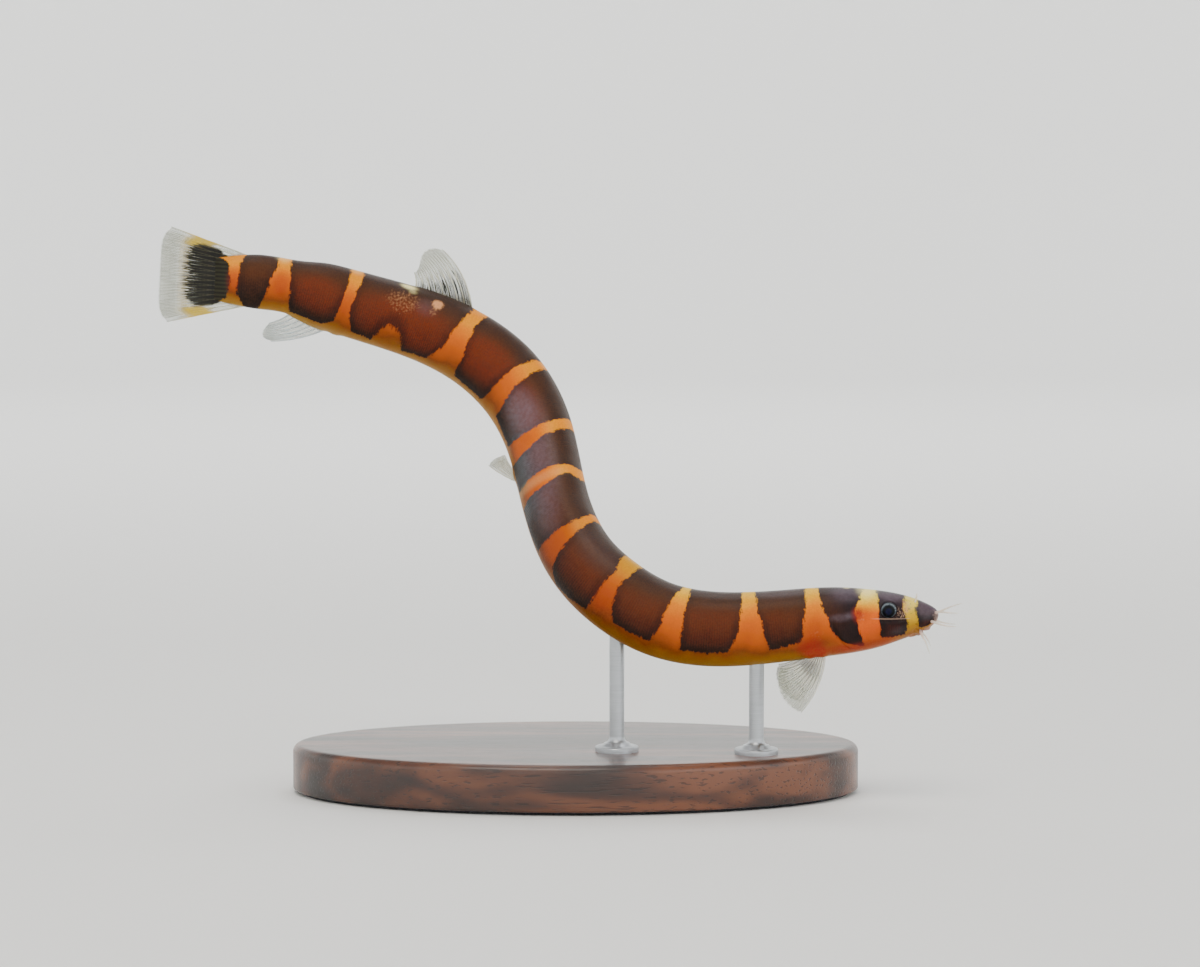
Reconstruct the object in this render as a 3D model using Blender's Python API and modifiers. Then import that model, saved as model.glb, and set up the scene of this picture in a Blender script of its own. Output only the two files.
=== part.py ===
"""Kuhli loach, a life-size display model that swims in an S-bend over a plain stand.

Metres, +Z up. The fish swims towards +X and shows its right side to -Y. The origin is the
centre of the underside of the stand's base. Distances along the fish are measured on its
centre line from the tip of the snout, and a place round its section is an angle in degrees:
0 is the left flank, 90 the back, 180 the right flank and 270 the belly.
"""
import math
from typing import NamedTuple

import bmesh
import bpy
import numpy as np
from mathutils import Vector

MM = 0.001
GAP = 0.3 * MM
WELD = 0.001 * MM

# Centre line of the body, from the snout to the root of the tail fin.
SPINE = MM * np.array((
    (36.3, -8.5, 19.2), (31.5, -8.0, 18.8), (25.5, -7.6, 18.4), (19.0, -7.5, 17.8),
    (13.5, -7.4, 17.6), (8.5, -6.9, 18.5), (4.2, -5.8, 20.8), (0.9, -3.9, 23.8),
    (-1.3, -0.9, 27.6), (-2.6, 2.5, 31.8), (-4.0, 5.7, 36.7), (-6.7, 7.8, 41.4),
    (-11.1, 8.7, 45.2), (-16.9, 8.7, 47.9), (-24.4, 7.7, 50.2), (-30.9, 6.5, 51.9),
    (-36.2, 5.7, 52.4)))
# Distance from the snout, height above and below the centre line, half of the width.
GIRTH = MM * np.array((
    (0.0, 0.0, 0.0, 0.0), (1.7, 1.45, 1.65, 1.4), (3.7, 2.25, 2.25, 2.0), (6.7, 2.9, 3.05, 2.45),
    (10.7, 3.35, 3.5, 2.75), (16.0, 3.5, 3.7, 2.9), (24.0, 3.75, 3.8, 2.95),
    (37.0, 3.7, 3.75, 2.9), (49.0, 3.55, 3.6, 2.8), (62.0, 3.95, 3.9, 2.85),
    (71.0, 3.7, 3.75, 2.65), (81.0, 3.45, 3.5, 2.2), (83.5, 3.3, 3.3, 1.95),
    (86.0, 2.85, 2.85, 1.6), (90.0, 2.8, 2.8, 1.25), (93.0, 2.4, 2.4, 0.85)))
# How far the back rolls towards the viewer, in degrees, at distances from the snout.
ROLL_AT = MM * np.array((0.0, 24.0, 33.0, 38.0, 45.0, 52.0, 57.0, 62.0, 73.0, 81.0, 88.0, 93.0))
ROLL = (0.0, 0.0, 8.0, 20.0, 28.0, 28.0, 18.0, 8.0, 9.0, 4.0, 0.0, 0.0)
SECTION_POWER = 2.2

BODY_END = 92.6 * MM
HEAD_END = 11.0 * MM
BODY_LENGTHS = (("trunk_front", HEAD_END, 33.0 * MM), ("trunk_middle", 33.0 * MM, 55.0 * MM),
                ("trunk_rear", 55.0 * MM, 74.8 * MM), ("tail_stalk", 74.8 * MM, BODY_END))
TRUNK_SIDES = 24
TRUNK_RING_SPACING = 1.4 * MM
HEAD_SIDES = 32
HEAD_RINGS = 24
SNOUT_TIP_RING = 0.015 * MM

EYE_DISTANCE = 4.9 * MM
EYE_HEIGHT = 0.9 * MM
EYE_SIDEWAYS = 1.8 * MM
EYE_RADIUS = 0.82 * MM
EYE_THICKNESS = 0.5 * MM
EYE_SEGMENTS = 20
EYE_RINGS = 10

# Distance in mm of the corners, shoulders and middle of an arch under the snout, and the
# degrees from the middle to a corner. The shoulders lie at a share of that angle.
UPPER_LIP = (2.15, 1.3, 1.1, 50.0)
LOWER_LIP = (2.25, 2.1, 1.9, 42.0)
MOUTH_LINE = (2.25, 1.65, 1.45, 54.0)
SHOULDER_SHARE = 0.45
LIP_RADIUS = 0.25 * MM
MOUTH_SLIT_RADIUS = 0.15 * MM
# Distance in mm and rise in degrees of places on the skin of either side.
CHIN_LOBE = ((1.95, -66.0), (2.45, -74.0), (3.0, -79.0))
NOSTRIL = (2.75, 56.0)
GILL_SLIT = ((10.0, 34.0), (10.45, 0.0), (10.2, -35.0), (8.6, -66.0))
CHEEK_GROOVE = ((3.2, -14.0), (4.8, -12.0), (6.6, -4.0))
CHIN_LOBE_RADIUS = 0.34 * MM
NOSTRIL_RADIUS = 0.17 * MM
GILL_SLIT_RADIUS = 0.16 * MM
CHEEK_GROOVE_RADIUS = 0.1 * MM
# Share of its radius that a lip, a lobe or the mouth line keeps at its two ends.
SOFT_END = 0.35

BARBEL_ROOT_RADIUS = 0.28 * MM
BARBEL_TIP_SHARE = 0.35
BARBEL_STEM = 0.35
BARBEL_POINTS = 7

MEMBRANE = 0.5 * MM
RAY_RIDGE = 0.22 * MM
RAY_RIDGE_FADE = 0.5
ROOT_SWELL = 0.3 * MM
CAUDAL_ROOT_SWELL = 0.75 * MM
CAUDAL_ROOT_POWER = 4
CAUDAL_RAYS = 15
CAUDAL_ROWS = 8
CAUDAL_LENGTH = 7.4 * MM
CAUDAL_TOP = 5.1 * MM
CAUDAL_BOTTOM = -4.7 * MM
CAUDAL_CORNER = 1.0 * MM
CAUDAL_CORNER_POWER = 6
CAUDAL_CREST = 1.5 * MM
CAUDAL_CREST_SHARE = 0.13

BASE_LENGTH = 58.0 * MM
BASE_WIDTH = 32.0 * MM
BASE_HEIGHT = 5.0 * MM
BASE_BEVEL = 0.8 * MM
BASE_SIDES = 64
ROD_RADIUS = 0.75 * MM
ROD_FOOT_RADIUS = 2.2 * MM
ROD_FOOT_HEIGHT = 0.9 * MM
ROD_FOOT_RIM = 0.6
ROD_SIDES = 20
ROD_BELLY_END = 42.0 * MM
# Name, x, y and the height that each rod has before the belly above cuts it.
RODS = (("stand_rod_front", 18.2 * MM, -7.5 * MM, 17.0 * MM),
        ("stand_rod_rear", 4.2 * MM, -5.9 * MM, 20.0 * MM))


class Fin(NamedTuple):
    """Sizes of a fin whose rays fan out from a straight root on the body."""

    start: float
    base: float
    first_ray: float
    last_ray: float
    fall: float
    first_lean: float
    last_lean: float
    lean_power: float
    bow: float
    rays: int
    rows: int


DORSAL = Fin(start=68.3 * MM, base=5.7 * MM, first_ray=6.7 * MM, last_ray=1.3 * MM, fall=1.35,
             first_lean=34.0, last_lean=58.0, lean_power=3.0, bow=0.1, rays=9, rows=8)
ANAL = Fin(start=81.7 * MM, base=4.1 * MM, first_ray=5.6 * MM, last_ray=2.2 * MM, fall=1.0,
           first_lean=25.0, last_lean=28.0, lean_power=1.0, bow=0.055, rays=7, rows=6)
PECTORAL = Fin(start=11.6 * MM, base=1.5 * MM, first_ray=6.3 * MM, last_ray=3.3 * MM, fall=1.0,
               first_lean=62.0, last_lean=12.0, lean_power=1.3, bow=0.09, rays=10, rows=8)
PELVIC = Fin(start=50.0 * MM, base=1.1 * MM, first_ray=3.4 * MM, last_ray=2.0 * MM, fall=1.0,
             first_lean=24.0, last_lean=8.0, lean_power=1.0, bow=0.08, rays=6, rows=5)
PECTORAL_RISE = -62.0
PECTORAL_SPLAY = 25.0
PELVIC_RISE = -68.0
PELVIC_SPLAY = 35.0

SIDES = (("left", 1), ("right", -1))
# Side, distance in mm and rise of each root, then the tip's way forwards, outwards and up in mm.
BARBELS = (
    ("rostral_inner_left", 1, 0.25, 8.0, 2.0, 0.9, -0.4),
    ("rostral_inner_right", -1, 0.25, 22.0, 2.5, 0.7, 0.75),
    ("rostral_outer_left", 1, 0.75, -32.0, 2.2, 1.3, -0.7),
    ("rostral_outer_right", -1, 0.75, -32.0, 2.3, 1.2, -0.4),
    ("maxillary_left", 1, 1.9, -58.0, 0.75, 1.1, -1.7),
    ("maxillary_right", -1, 1.9, -58.0, 0.65, 0.8, -2.0),
    ("nasal_left", 1, 2.2, 58.0, 0.15, 0.35, 0.45),
    ("nasal_right", -1, 2.2, 58.0, 0.2, 0.3, 0.45))

# Colour, roughness and metallic value.
FINISHES = {
    "saddle_brown": ((0.09, 0.03, 0.022), 0.38, 0.0),
    "band_orange": ((0.75, 0.26, 0.04), 0.38, 0.0),
    "fin_membrane": ((0.55, 0.6, 0.5), 0.4, 0.0),
    "barbel_skin": ((0.8, 0.68, 0.6), 0.45, 0.0),
    "eye_dark": ((0.02, 0.025, 0.045), 0.1, 0.0),
    "stained_wood": ((0.07, 0.035, 0.02), 0.45, 0.0),
    "brushed_steel": ((0.6, 0.6, 0.6), 0.3, 1.0),
}


def natural_spline(knots, values):
    """Return a function that gives value and slope on the smooth curve through the values."""
    steps = np.diff(knots)
    count = len(knots)
    system = np.eye(count)
    wanted = np.zeros_like(values)
    for i in range(1, count - 1):
        before, after = steps[i - 1], steps[i]
        system[i, i - 1:i + 2] = before, 2 * (before + after), after
        wanted[i] = 6 * ((values[i + 1] - values[i]) / after - (values[i] - values[i - 1]) / before)
    bend = np.linalg.solve(system, wanted)

    def at(knot):
        i = int(np.clip(np.searchsorted(knots, knot) - 1, 0, count - 2))
        h = steps[i]
        a, b = (knots[i + 1] - knot) / h, (knot - knots[i]) / h
        rise = (values[i + 1] - values[i]) / h
        value = a * values[i] + b * values[i + 1]
        value = value + ((a ** 3 - a) * bend[i] + (b ** 3 - b) * bend[i + 1]) * h * h / 6
        slope = rise + ((3 * b * b - 1) * bend[i + 1] - (3 * a * a - 1) * bend[i]) * h / 6
        return value, slope

    return at


def measured_spine(samples=800):
    """Return the spine's curve, with its knots and lengths so that a distance finds its place."""
    knots = np.concatenate(([0.0], np.cumsum(np.linalg.norm(np.diff(SPINE, axis=0), axis=1))))
    curve = natural_spline(knots, SPINE)
    places = np.linspace(0.0, knots[-1], samples)
    points = np.array([curve(place)[0] for place in places])
    lengths = np.concatenate(([0.0], np.cumsum(np.linalg.norm(np.diff(points, axis=0), axis=1))))
    return curve, places, lengths


SPINE_CURVE, SPINE_PLACES, SPINE_LENGTHS = measured_spine()
# The girth is smooth over the root of the distance, which rounds the snout.
GIRTH_CURVE = natural_spline(np.sqrt(GIRTH[:, 0]), GIRTH[:, 1:])


def body_frame(distance):
    """Return the centre and the forward, left and up directions of the body at a distance."""
    point, slope = SPINE_CURVE(np.interp(distance, SPINE_LENGTHS, SPINE_PLACES))
    forward = Vector(-slope).normalized()
    across = Vector((0.0, 1.0, 0.0))
    left = (across - across.dot(forward) * forward).normalized()
    up = forward.cross(left)
    roll = math.radians(np.interp(distance, ROLL_AT, ROLL))
    rolled_up = math.cos(roll) * up - math.sin(roll) * left
    rolled_left = math.cos(roll) * left + math.sin(roll) * up
    return Vector(point), forward, rolled_left, rolled_up


def signed_power(value, power):
    """Return a power of a value's size, with the value's sign."""
    return math.copysign(abs(value) ** power, value)


def surface(distance, around):
    """Return the point of the body's surface at a distance and an angle round the section."""
    centre, _, left, up = body_frame(distance)
    above, below, half_width = GIRTH_CURVE(math.sqrt(distance))[0]
    angle = math.radians(around)
    power = 2 / SECTION_POWER
    sideways = half_width * signed_power(math.cos(angle), power)
    upwards = (above if math.sin(angle) > 0 else below) * signed_power(math.sin(angle), power)
    return centre + float(sideways) * left + float(upwards) * up


def lifted(distance, around, lift):
    """Return a point that stands off the body's surface by a lift along its normal."""
    step, turn = 0.02 * MM, 1.0
    front, back = max(distance - step, SNOUT_TIP_RING), distance + step
    along = surface(back, around) - surface(front, around)
    round_it = surface(distance, around + turn) - surface(distance, around - turn)
    return surface(distance, around) + lift * along.cross(round_it).normalized()


def round_to(side, rise):
    """Return the angle round the section that lies above a flank by a rise in degrees."""
    return rise if side > 0 else 180.0 - rise


def material(name):
    """Return the named finish as a material."""
    found = bpy.data.materials.get(name)
    if found:
        return found
    colour, roughness, metallic = FINISHES[name]
    made = bpy.data.materials.new(name)
    made.use_nodes = True
    shader = made.node_tree.nodes["Principled BSDF"]
    shader.inputs["Base Color"].default_value = (*colour, 1.0)
    shader.inputs["Roughness"].default_value = roughness
    shader.inputs["Metallic"].default_value = metallic
    made.diffuse_color = (*colour, 1.0)
    return made


def add_object(name, data, finish, group="kuhli_loach"):
    """Add an object with this data and finish to a collection."""
    collection = bpy.data.collections.get(group)
    if collection is None:
        collection = bpy.data.collections.new(group)
        bpy.context.scene.collection.children.link(collection)
    piece = bpy.data.objects.new(name, data)
    piece.data.materials.append(material(finish))
    collection.objects.link(piece)
    return piece


def mesh_from(name, shape):
    """Turn a bmesh into a smooth-shaded mesh, with its faces pointing out."""
    shape.normal_update()
    bmesh.ops.recalc_face_normals(shape, faces=shape.faces[:])
    data = bpy.data.meshes.new(name)
    shape.to_mesh(data)
    shape.free()
    data.shade_smooth()
    return data


def loft(name, rings, finish, group="kuhli_loach"):
    """Make a closed solid through rings of equally many points, with flat ends."""
    shape = bmesh.new()
    loops = [[shape.verts.new(point) for point in ring] for ring in rings]
    for near, far in zip(loops, loops[1:]):
        for i in range(len(near)):
            shape.faces.new((near[i - 1], near[i], far[i], far[i - 1]))
    shape.faces.new(loops[0])
    shape.faces.new(reversed(loops[-1]))
    return add_object(name, mesh_from(name, shape), finish, group)


def body_rings(distances, sides, lift=0.0):
    """Return rings of the body's surface, each lifted off it by the same amount."""
    turns = [360.0 * i / sides for i in range(sides)]
    return [[lifted(distance, turn, lift) for turn in turns] for distance in distances]


def trunk_distances(start, end):
    """Return evenly spaced distances of rings between two ends."""
    return np.linspace(start, end, round((end - start) / TRUNK_RING_SPACING) + 1)


def make_trunk():
    """Make the lengths of the trunk and tail behind the head."""
    for name, start, end in BODY_LENGTHS:
        last = end if end == BODY_END else end - GAP / 2
        rings = body_rings(trunk_distances(start + GAP / 2, last), TRUNK_SIDES)
        loft(name, rings, "saddle_brown")


def tube(name, points, radii, finish, group):
    """Make a tube along points as a curve with a radius at each point."""
    data = bpy.data.curves.new(name, "CURVE")
    data.dimensions = "3D"
    data.bevel_depth = 1.0
    data.bevel_resolution = 2
    data.use_fill_caps = True
    spline = data.splines.new("POLY")
    spline.points.add(len(points) - 1)
    for knot, point, radius in zip(spline.points, points, radii):
        knot.co = (*point, 1.0)
        knot.radius = radius
    return add_object(name, data, finish, group)


def as_mesh(curve):
    """Replace a curve object by a mesh object of the same tube, with its caps welded on."""
    name, finish = curve.name, curve.data.materials[0].name
    group = curve.users_collection[0].name
    evaluated = curve.evaluated_get(bpy.context.evaluated_depsgraph_get())
    shape = bmesh.new()
    shape.from_mesh(bpy.data.meshes.new_from_object(evaluated))
    bmesh.ops.remove_doubles(shape, verts=shape.verts[:], dist=WELD)
    bpy.data.objects.remove(curve)
    return add_object(name, mesh_from(name, shape), finish, group)


def surface_tube(name, places, radius, group, ends=1.0, count=11):
    """Make a tube that lies on the skin along a curve through places.

    A place is a distance in mm and an angle round the section. ends is the share of the radius
    that the tube keeps at its two ends.
    """
    track = np.array(places, dtype=float)
    curve = natural_spline(np.linspace(0.0, 1.0, len(track)), track)
    points, radii = [], []
    for share in np.linspace(0.0, 1.0, count):
        distance, around = curve(share)[0]
        points.append(surface(distance * MM, around))
        radii.append(radius * (ends + (1 - ends) * math.sin(math.pi * share)))
    return as_mesh(tube(name, points, radii, "band_orange", group))


def side_tube(name, side, places, radius, group, ends=1.0):
    """Make a tube on the skin of one side, through places given by distance and rise."""
    track = [(distance, round_to(side, rise)) for distance, rise in places]
    return surface_tube(name, track, radius, group, ends)


def arch(corner, shoulder, middle, spread):
    """Return places of an arch under the snout, from one corner of the mouth to the other."""
    half = SHOULDER_SHARE * spread
    return ((corner, 270 - spread), (shoulder, 270 - half), (middle, 270), (shoulder, 270 + half),
            (corner, 270 + spread))


def eye_lens(name, side, grow, finish, group):
    """Make an eye as a flattened ball, or the same ball grown all round to cut its socket."""
    centre, forward, left, up = body_frame(EYE_DISTANCE)
    middle = centre + EYE_HEIGHT * up + side * EYE_SIDEWAYS * left
    shape = bmesh.new()
    bmesh.ops.create_uvsphere(shape, u_segments=EYE_SEGMENTS, v_segments=EYE_RINGS, radius=1.0)
    for vertex in shape.verts:
        flat = (EYE_RADIUS + grow) * (vertex.co.x * forward + vertex.co.y * up)
        vertex.co = middle + flat + (EYE_THICKNESS + grow) * vertex.co.z * left
    return add_object(name, mesh_from(name, shape), finish, group)


def ball(name, centre, radius, group):
    """Make a small ball that cuts a pit."""
    shape = bmesh.new()
    bmesh.ops.create_icosphere(shape, subdivisions=2, radius=radius)
    bmesh.ops.translate(shape, verts=shape.verts[:], vec=centre)
    return add_object(name, mesh_from(name, shape), "band_orange", group)


def head_pieces():
    """Make the lips and the two lobes of the chin, which are joined to the head."""
    surface_tube("lip_upper", arch(*UPPER_LIP), LIP_RADIUS, "head_pieces", SOFT_END)
    surface_tube("lip_lower", arch(*LOWER_LIP), LIP_RADIUS, "head_pieces", SOFT_END)
    for word, side in SIDES:
        side_tube(f"chin_lobe_{word}", side, CHIN_LOBE, CHIN_LOBE_RADIUS, "head_pieces", SOFT_END)


def head_cutters():
    """Make the cutters of the eye sockets, mouth line, nostrils, gill slits and cheek grooves."""
    surface_tube("mouth_line", arch(*MOUTH_LINE), MOUTH_SLIT_RADIUS, "cutters", SOFT_END)
    for word, side in SIDES:
        eye_lens(f"socket_{word}", side, GAP, "eye_dark", "cutters")
        pit = surface(NOSTRIL[0] * MM, round_to(side, NOSTRIL[1]))
        ball(f"nostril_{word}", pit, NOSTRIL_RADIUS, "cutters")
        side_tube(f"gill_slit_{word}", side, GILL_SLIT, GILL_SLIT_RADIUS, "cutters")
        side_tube(f"cheek_groove_{word}", side, CHEEK_GROOVE, CHEEK_GROOVE_RADIUS, "cutters")


def boolean_with(piece, operation, group):
    """Join a collection to a piece, or cut the collection out of it, and apply the result."""
    step = piece.modifiers.new(operation.lower(), "BOOLEAN")
    step.operation = operation
    step.operand_type = "COLLECTION"
    step.collection = bpy.data.collections[group]
    evaluated = piece.evaluated_get(bpy.context.evaluated_depsgraph_get())
    result = bpy.data.meshes.new_from_object(evaluated)
    piece.modifiers.clear()
    piece.data = result


def keep_largest(piece):
    """Keep only the closed surface that has the most faces."""
    shape = bmesh.new()
    shape.from_mesh(piece.data)
    waiting, islands = set(shape.verts), []
    while waiting:
        island, edge = set(), [waiting.pop()]
        while edge:
            vertex = edge.pop()
            island.add(vertex)
            near = {link.other_vert(vertex) for link in vertex.link_edges} & waiting
            waiting -= near
            edge.extend(near)
        islands.append(island)
    islands.sort(key=len)
    for island in islands[:-1]:
        bmesh.ops.delete(shape, geom=list(island), context="VERTS")
    shape.to_mesh(piece.data)
    shape.free()


def make_head():
    """Make the head with its lips, mouth line, nostrils, eye sockets and gill slits."""
    steps = np.linspace(math.sqrt(SNOUT_TIP_RING), math.sqrt(HEAD_END - GAP / 2), HEAD_RINGS)
    head = loft("head", body_rings(steps ** 2, HEAD_SIDES), "saddle_brown")
    head_pieces()
    boolean_with(head, "UNION", "head_pieces")
    for piece in list(bpy.data.collections["head_pieces"].objects):
        bpy.data.objects.remove(piece)
    head_cutters()
    boolean_with(head, "DIFFERENCE", "cutters")
    keep_largest(head)


def make_eyes():
    """Make the two eyes."""
    for word, side in SIDES:
        eye_lens(f"eye_{word}", side, 0.0, "eye_dark", "kuhli_loach")


def make_barbels():
    """Make four pairs of barbels, each leaving the skin squarely and then bending away."""
    for name, side, distance, rise, ahead, outwards, upwards in BARBELS:
        _, forward, left, up = body_frame(distance * MM)
        around = round_to(side, rise)
        root = lifted(distance * MM, around, GAP)
        tip = root + MM * (ahead * forward + side * outwards * left + upwards * up)
        stem = lifted(distance * MM, around, GAP + BARBEL_STEM * (tip - root).length)
        points, radii = [], []
        for t in np.linspace(0.0, 1.0, BARBEL_POINTS):
            points.append((1 - t) ** 2 * root + 2 * t * (1 - t) * stem + t * t * tip)
            radii.append(BARBEL_ROOT_RADIUS * (1 - (1 - BARBEL_TIP_SHARE) * t))
        tube(f"barbel_{name}", points, radii, "barbel_skin", "kuhli_loach")


def fin_sheet(name, place, thickness, rays, rows):
    """Make a fin from a grid with a ridge along each ray, thickened to both sides.

    place gives a point and thickness a width, both for a share across the rays and a share
    from root to edge.
    """
    columns = 2 * rays - 1
    shape = bmesh.new()
    bmesh.ops.create_grid(shape, x_segments=columns - 1, y_segments=rows, size=0.5)
    layer = shape.verts.layers.deform.verify()
    widest = MEMBRANE + RAY_RIDGE + CAUDAL_ROOT_SWELL
    for vertex in shape.verts:
        across, out = vertex.co.x + 0.5, vertex.co.y + 0.5
        on_ray = round(across * (columns - 1)) % 2 == 0
        ridge = RAY_RIDGE * (1 - RAY_RIDGE_FADE * out) if on_ray else 0.0
        vertex[layer][0] = (thickness(across, out) + ridge) / widest
        vertex.co = place(across, out)
    bmesh.ops.triangulate(shape, faces=shape.faces[:], quad_method="FIXED")
    data = bpy.data.meshes.new(name)
    shape.to_mesh(data)
    shape.free()
    data.shade_smooth()
    fin = add_object(name, data, "fin_membrane")
    fin.vertex_groups.new(name="thickness")
    solid = fin.modifiers.new("thicken", "SOLIDIFY")
    solid.thickness = widest
    solid.offset = 0.0
    solid.vertex_group = "thickness"
    return fin


def fan_fin(name, fin, around, outwards):
    """Make a fin whose rays fan out from the skin, in the plane of the body's line and outwards."""

    def place(across, out):
        distance = fin.start + across * fin.base
        _, forward, left, up = body_frame(distance)
        away = outwards(left, up)
        fade = math.cos(math.radians(90.0 * across)) ** fin.fall
        length = fin.last_ray + (fin.first_ray - fin.last_ray) * fade
        turn = fin.first_lean + (fin.last_lean - fin.first_lean) * across ** fin.lean_power
        lean = math.radians(turn)
        ray = math.sin(lean) * away - math.cos(lean) * forward
        ahead = math.cos(lean) * away + math.sin(lean) * forward
        bow = 4 * fin.bow * out * (1 - out)
        return lifted(distance, around, GAP) + length * (out * ray + bow * ahead)

    def thickness(across, out):
        return MEMBRANE + ROOT_SWELL * (1 - out) ** 2

    return fin_sheet(name, place, thickness, fin.rays, fin.rows)


def make_fans():
    """Make the dorsal and anal fins and the paired fins."""
    fan_fin("dorsal_fin", DORSAL, 90.0, lambda left, up: up)
    fan_fin("anal_fin", ANAL, 270.0, lambda left, up: -up)
    pairs = (("pectoral_fin", PECTORAL, PECTORAL_RISE, PECTORAL_SPLAY),
             ("pelvic_fin", PELVIC, PELVIC_RISE, PELVIC_SPLAY))
    for name, fin, rise, splay in pairs:
        down, aside = math.cos(math.radians(splay)), math.sin(math.radians(splay))
        for word, side in SIDES:
            fan_fin(f"{name}_{word}", fin, round_to(side, rise),
                    lambda left, up: side * aside * left - down * up)


def caudal_root(across):
    """Return a point of the tail fin's root, which runs round the end of the tail stalk."""
    share = CAUDAL_CREST_SHARE
    centre, forward, _, up = body_frame(BODY_END)
    above, below, _ = GIRTH_CURVE(math.sqrt(BODY_END))[0]
    if across < share:
        return lifted(BODY_END - CAUDAL_CREST * (1 - across / share), 90.0, GAP)
    if across > 1 - share:
        return lifted(BODY_END - CAUDAL_CREST * (across - 1 + share) / share, 270.0, GAP)
    height = np.interp(across, (share, 1 - share), (above, -below))
    return centre - GAP * forward + float(height) * up


def make_caudal():
    """Make the tail fin, square-cut with round corners and low crests on the stalk."""
    centre, forward, _, up = body_frame(BODY_END)

    def place(across, out):
        root = caudal_root(across)
        height = CAUDAL_TOP + (CAUDAL_BOTTOM - CAUDAL_TOP) * across
        reach = CAUDAL_LENGTH - CAUDAL_CORNER * abs(2 * across - 1) ** CAUDAL_CORNER_POWER
        edge = centre - reach * forward + height * up
        return root + out * (edge - root)

    def thickness(across, out):
        off_middle = abs(2 * across - 1) / (1 - CAUDAL_CREST_SHARE)
        swell = CAUDAL_ROOT_SWELL * max(0.0, 1 - off_middle ** CAUDAL_ROOT_POWER)
        return MEMBRANE + swell * (1 - out) ** 2

    fin_sheet("caudal_fin", place, thickness, CAUDAL_RAYS, CAUDAL_ROWS)


def make_base():
    """Make the oval base of the stand, with a rounded top edge."""
    shape = bmesh.new()
    bmesh.ops.create_cone(shape, cap_ends=True, segments=BASE_SIDES, radius1=0.5, radius2=0.5,
                          depth=1.0)
    bmesh.ops.scale(shape, verts=shape.verts[:], vec=(BASE_LENGTH, BASE_WIDTH, BASE_HEIGHT))
    base = add_object("stand_base", mesh_from("stand_base", shape), "stained_wood")
    base.location.z = BASE_HEIGHT / 2
    bevel = base.modifiers.new("round_edges", "BEVEL")
    bevel.width = BASE_BEVEL
    bevel.segments = 2


def make_rods():
    """Make the two rods, each turned with a foot and cut to the shape of the belly above it."""
    distances = trunk_distances(HEAD_END, ROD_BELLY_END)
    belly = loft("belly_clearance", body_rings(distances, TRUNK_SIDES, GAP), "saddle_brown",
                 "rod_cutters")
    floor = BASE_HEIGHT + GAP
    for name, x, y, top in RODS:
        profile = ((0.0, top), (ROD_RADIUS, top), (ROD_RADIUS, floor + ROD_FOOT_HEIGHT),
                   (ROD_FOOT_RADIUS, floor + ROD_FOOT_RIM * ROD_FOOT_HEIGHT), (ROD_FOOT_RADIUS, floor),
                   (0.0, floor))
        data = bpy.data.meshes.new(name)
        links = [(i, i + 1) for i in range(len(profile) - 1)]
        data.from_pydata([(radius, 0.0, height) for radius, height in profile], links, [])
        rod = add_object(name, data, "brushed_steel")
        rod.location = (x, y, 0.0)
        turn = rod.modifiers.new("turn", "SCREW")
        turn.steps = turn.render_steps = ROD_SIDES
        turn.use_merge_vertices = True
        turn.merge_threshold = WELD
        cut = rod.modifiers.new("belly", "BOOLEAN")
        cut.object = belly


def main():
    """Build the fish and its stand."""
    for old in list(bpy.data.objects):
        bpy.data.objects.remove(old)
    make_head()
    make_trunk()
    make_eyes()
    make_barbels()
    make_fans()
    make_caudal()
    make_base()
    make_rods()
    for group in ("cutters", "rod_cutters"):
        for cutter in bpy.data.collections[group].objects:
            cutter.hide_render = True
            cutter.display_type = "WIRE"


main()
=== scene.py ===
"""Looks of the kuhli loach display model: skin, eyes, barbels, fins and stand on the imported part.

Metres, +Z up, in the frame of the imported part. The fish swims towards +X and shows its right
side to -Y. Distances along the fish run on its centre line from the tip of the snout. A place
round a section is an angle in degrees: 0 left flank, 90 back, 180 right flank, 270 belly. Its
rise is the same on both sides: -90 belly, 0 flank, 90 back.
"""

import logging
import math
from dataclasses import dataclass, field
from enum import Enum
from typing import Callable, Sequence

import bmesh
import bpy
import numpy as np
from mathutils import Matrix, Vector


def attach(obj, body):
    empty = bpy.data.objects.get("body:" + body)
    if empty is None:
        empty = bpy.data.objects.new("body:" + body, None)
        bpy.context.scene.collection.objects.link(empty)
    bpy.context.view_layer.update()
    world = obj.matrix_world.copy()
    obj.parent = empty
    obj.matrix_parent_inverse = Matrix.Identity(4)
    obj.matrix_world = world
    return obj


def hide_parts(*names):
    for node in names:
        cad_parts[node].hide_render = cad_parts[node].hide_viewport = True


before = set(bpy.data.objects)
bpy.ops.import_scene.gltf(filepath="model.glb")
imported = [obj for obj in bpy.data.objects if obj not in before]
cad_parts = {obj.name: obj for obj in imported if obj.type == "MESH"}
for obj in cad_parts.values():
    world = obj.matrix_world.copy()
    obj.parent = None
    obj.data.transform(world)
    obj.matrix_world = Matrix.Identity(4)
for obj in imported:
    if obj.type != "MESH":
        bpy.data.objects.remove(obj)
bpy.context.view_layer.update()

MM = 0.001
# Mean length of one degree round the body's section, in mm.
MM_PER_DEGREE = 0.058
# How near two vertices are that become one.
WELD = 0.0005 * MM
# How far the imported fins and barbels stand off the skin.
CAD_GAP = 0.3 * MM
# Points read along the curve of a ridge or groove.
CURVE_POINTS = 90
# Rays of the tail fin, whose roots also show in the skin.
TAIL_RAYS = 16
LOG = logging.getLogger("loach")

Socket = bpy.types.NodeSocket
Stops = Sequence[tuple[float, str]]


class Side(Enum):
    """The two sides of the fish, with the sign of the way to its left."""

    LEFT = 1
    RIGHT = -1


class Slot(Enum):
    """Names of the material slots."""

    SKIN = "skin"
    EYE = "eye"
    BARBEL = "barbel"
    FIN = "fin"
    WOOD = "stand_wood"
    STEEL = "stand_steel"


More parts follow.
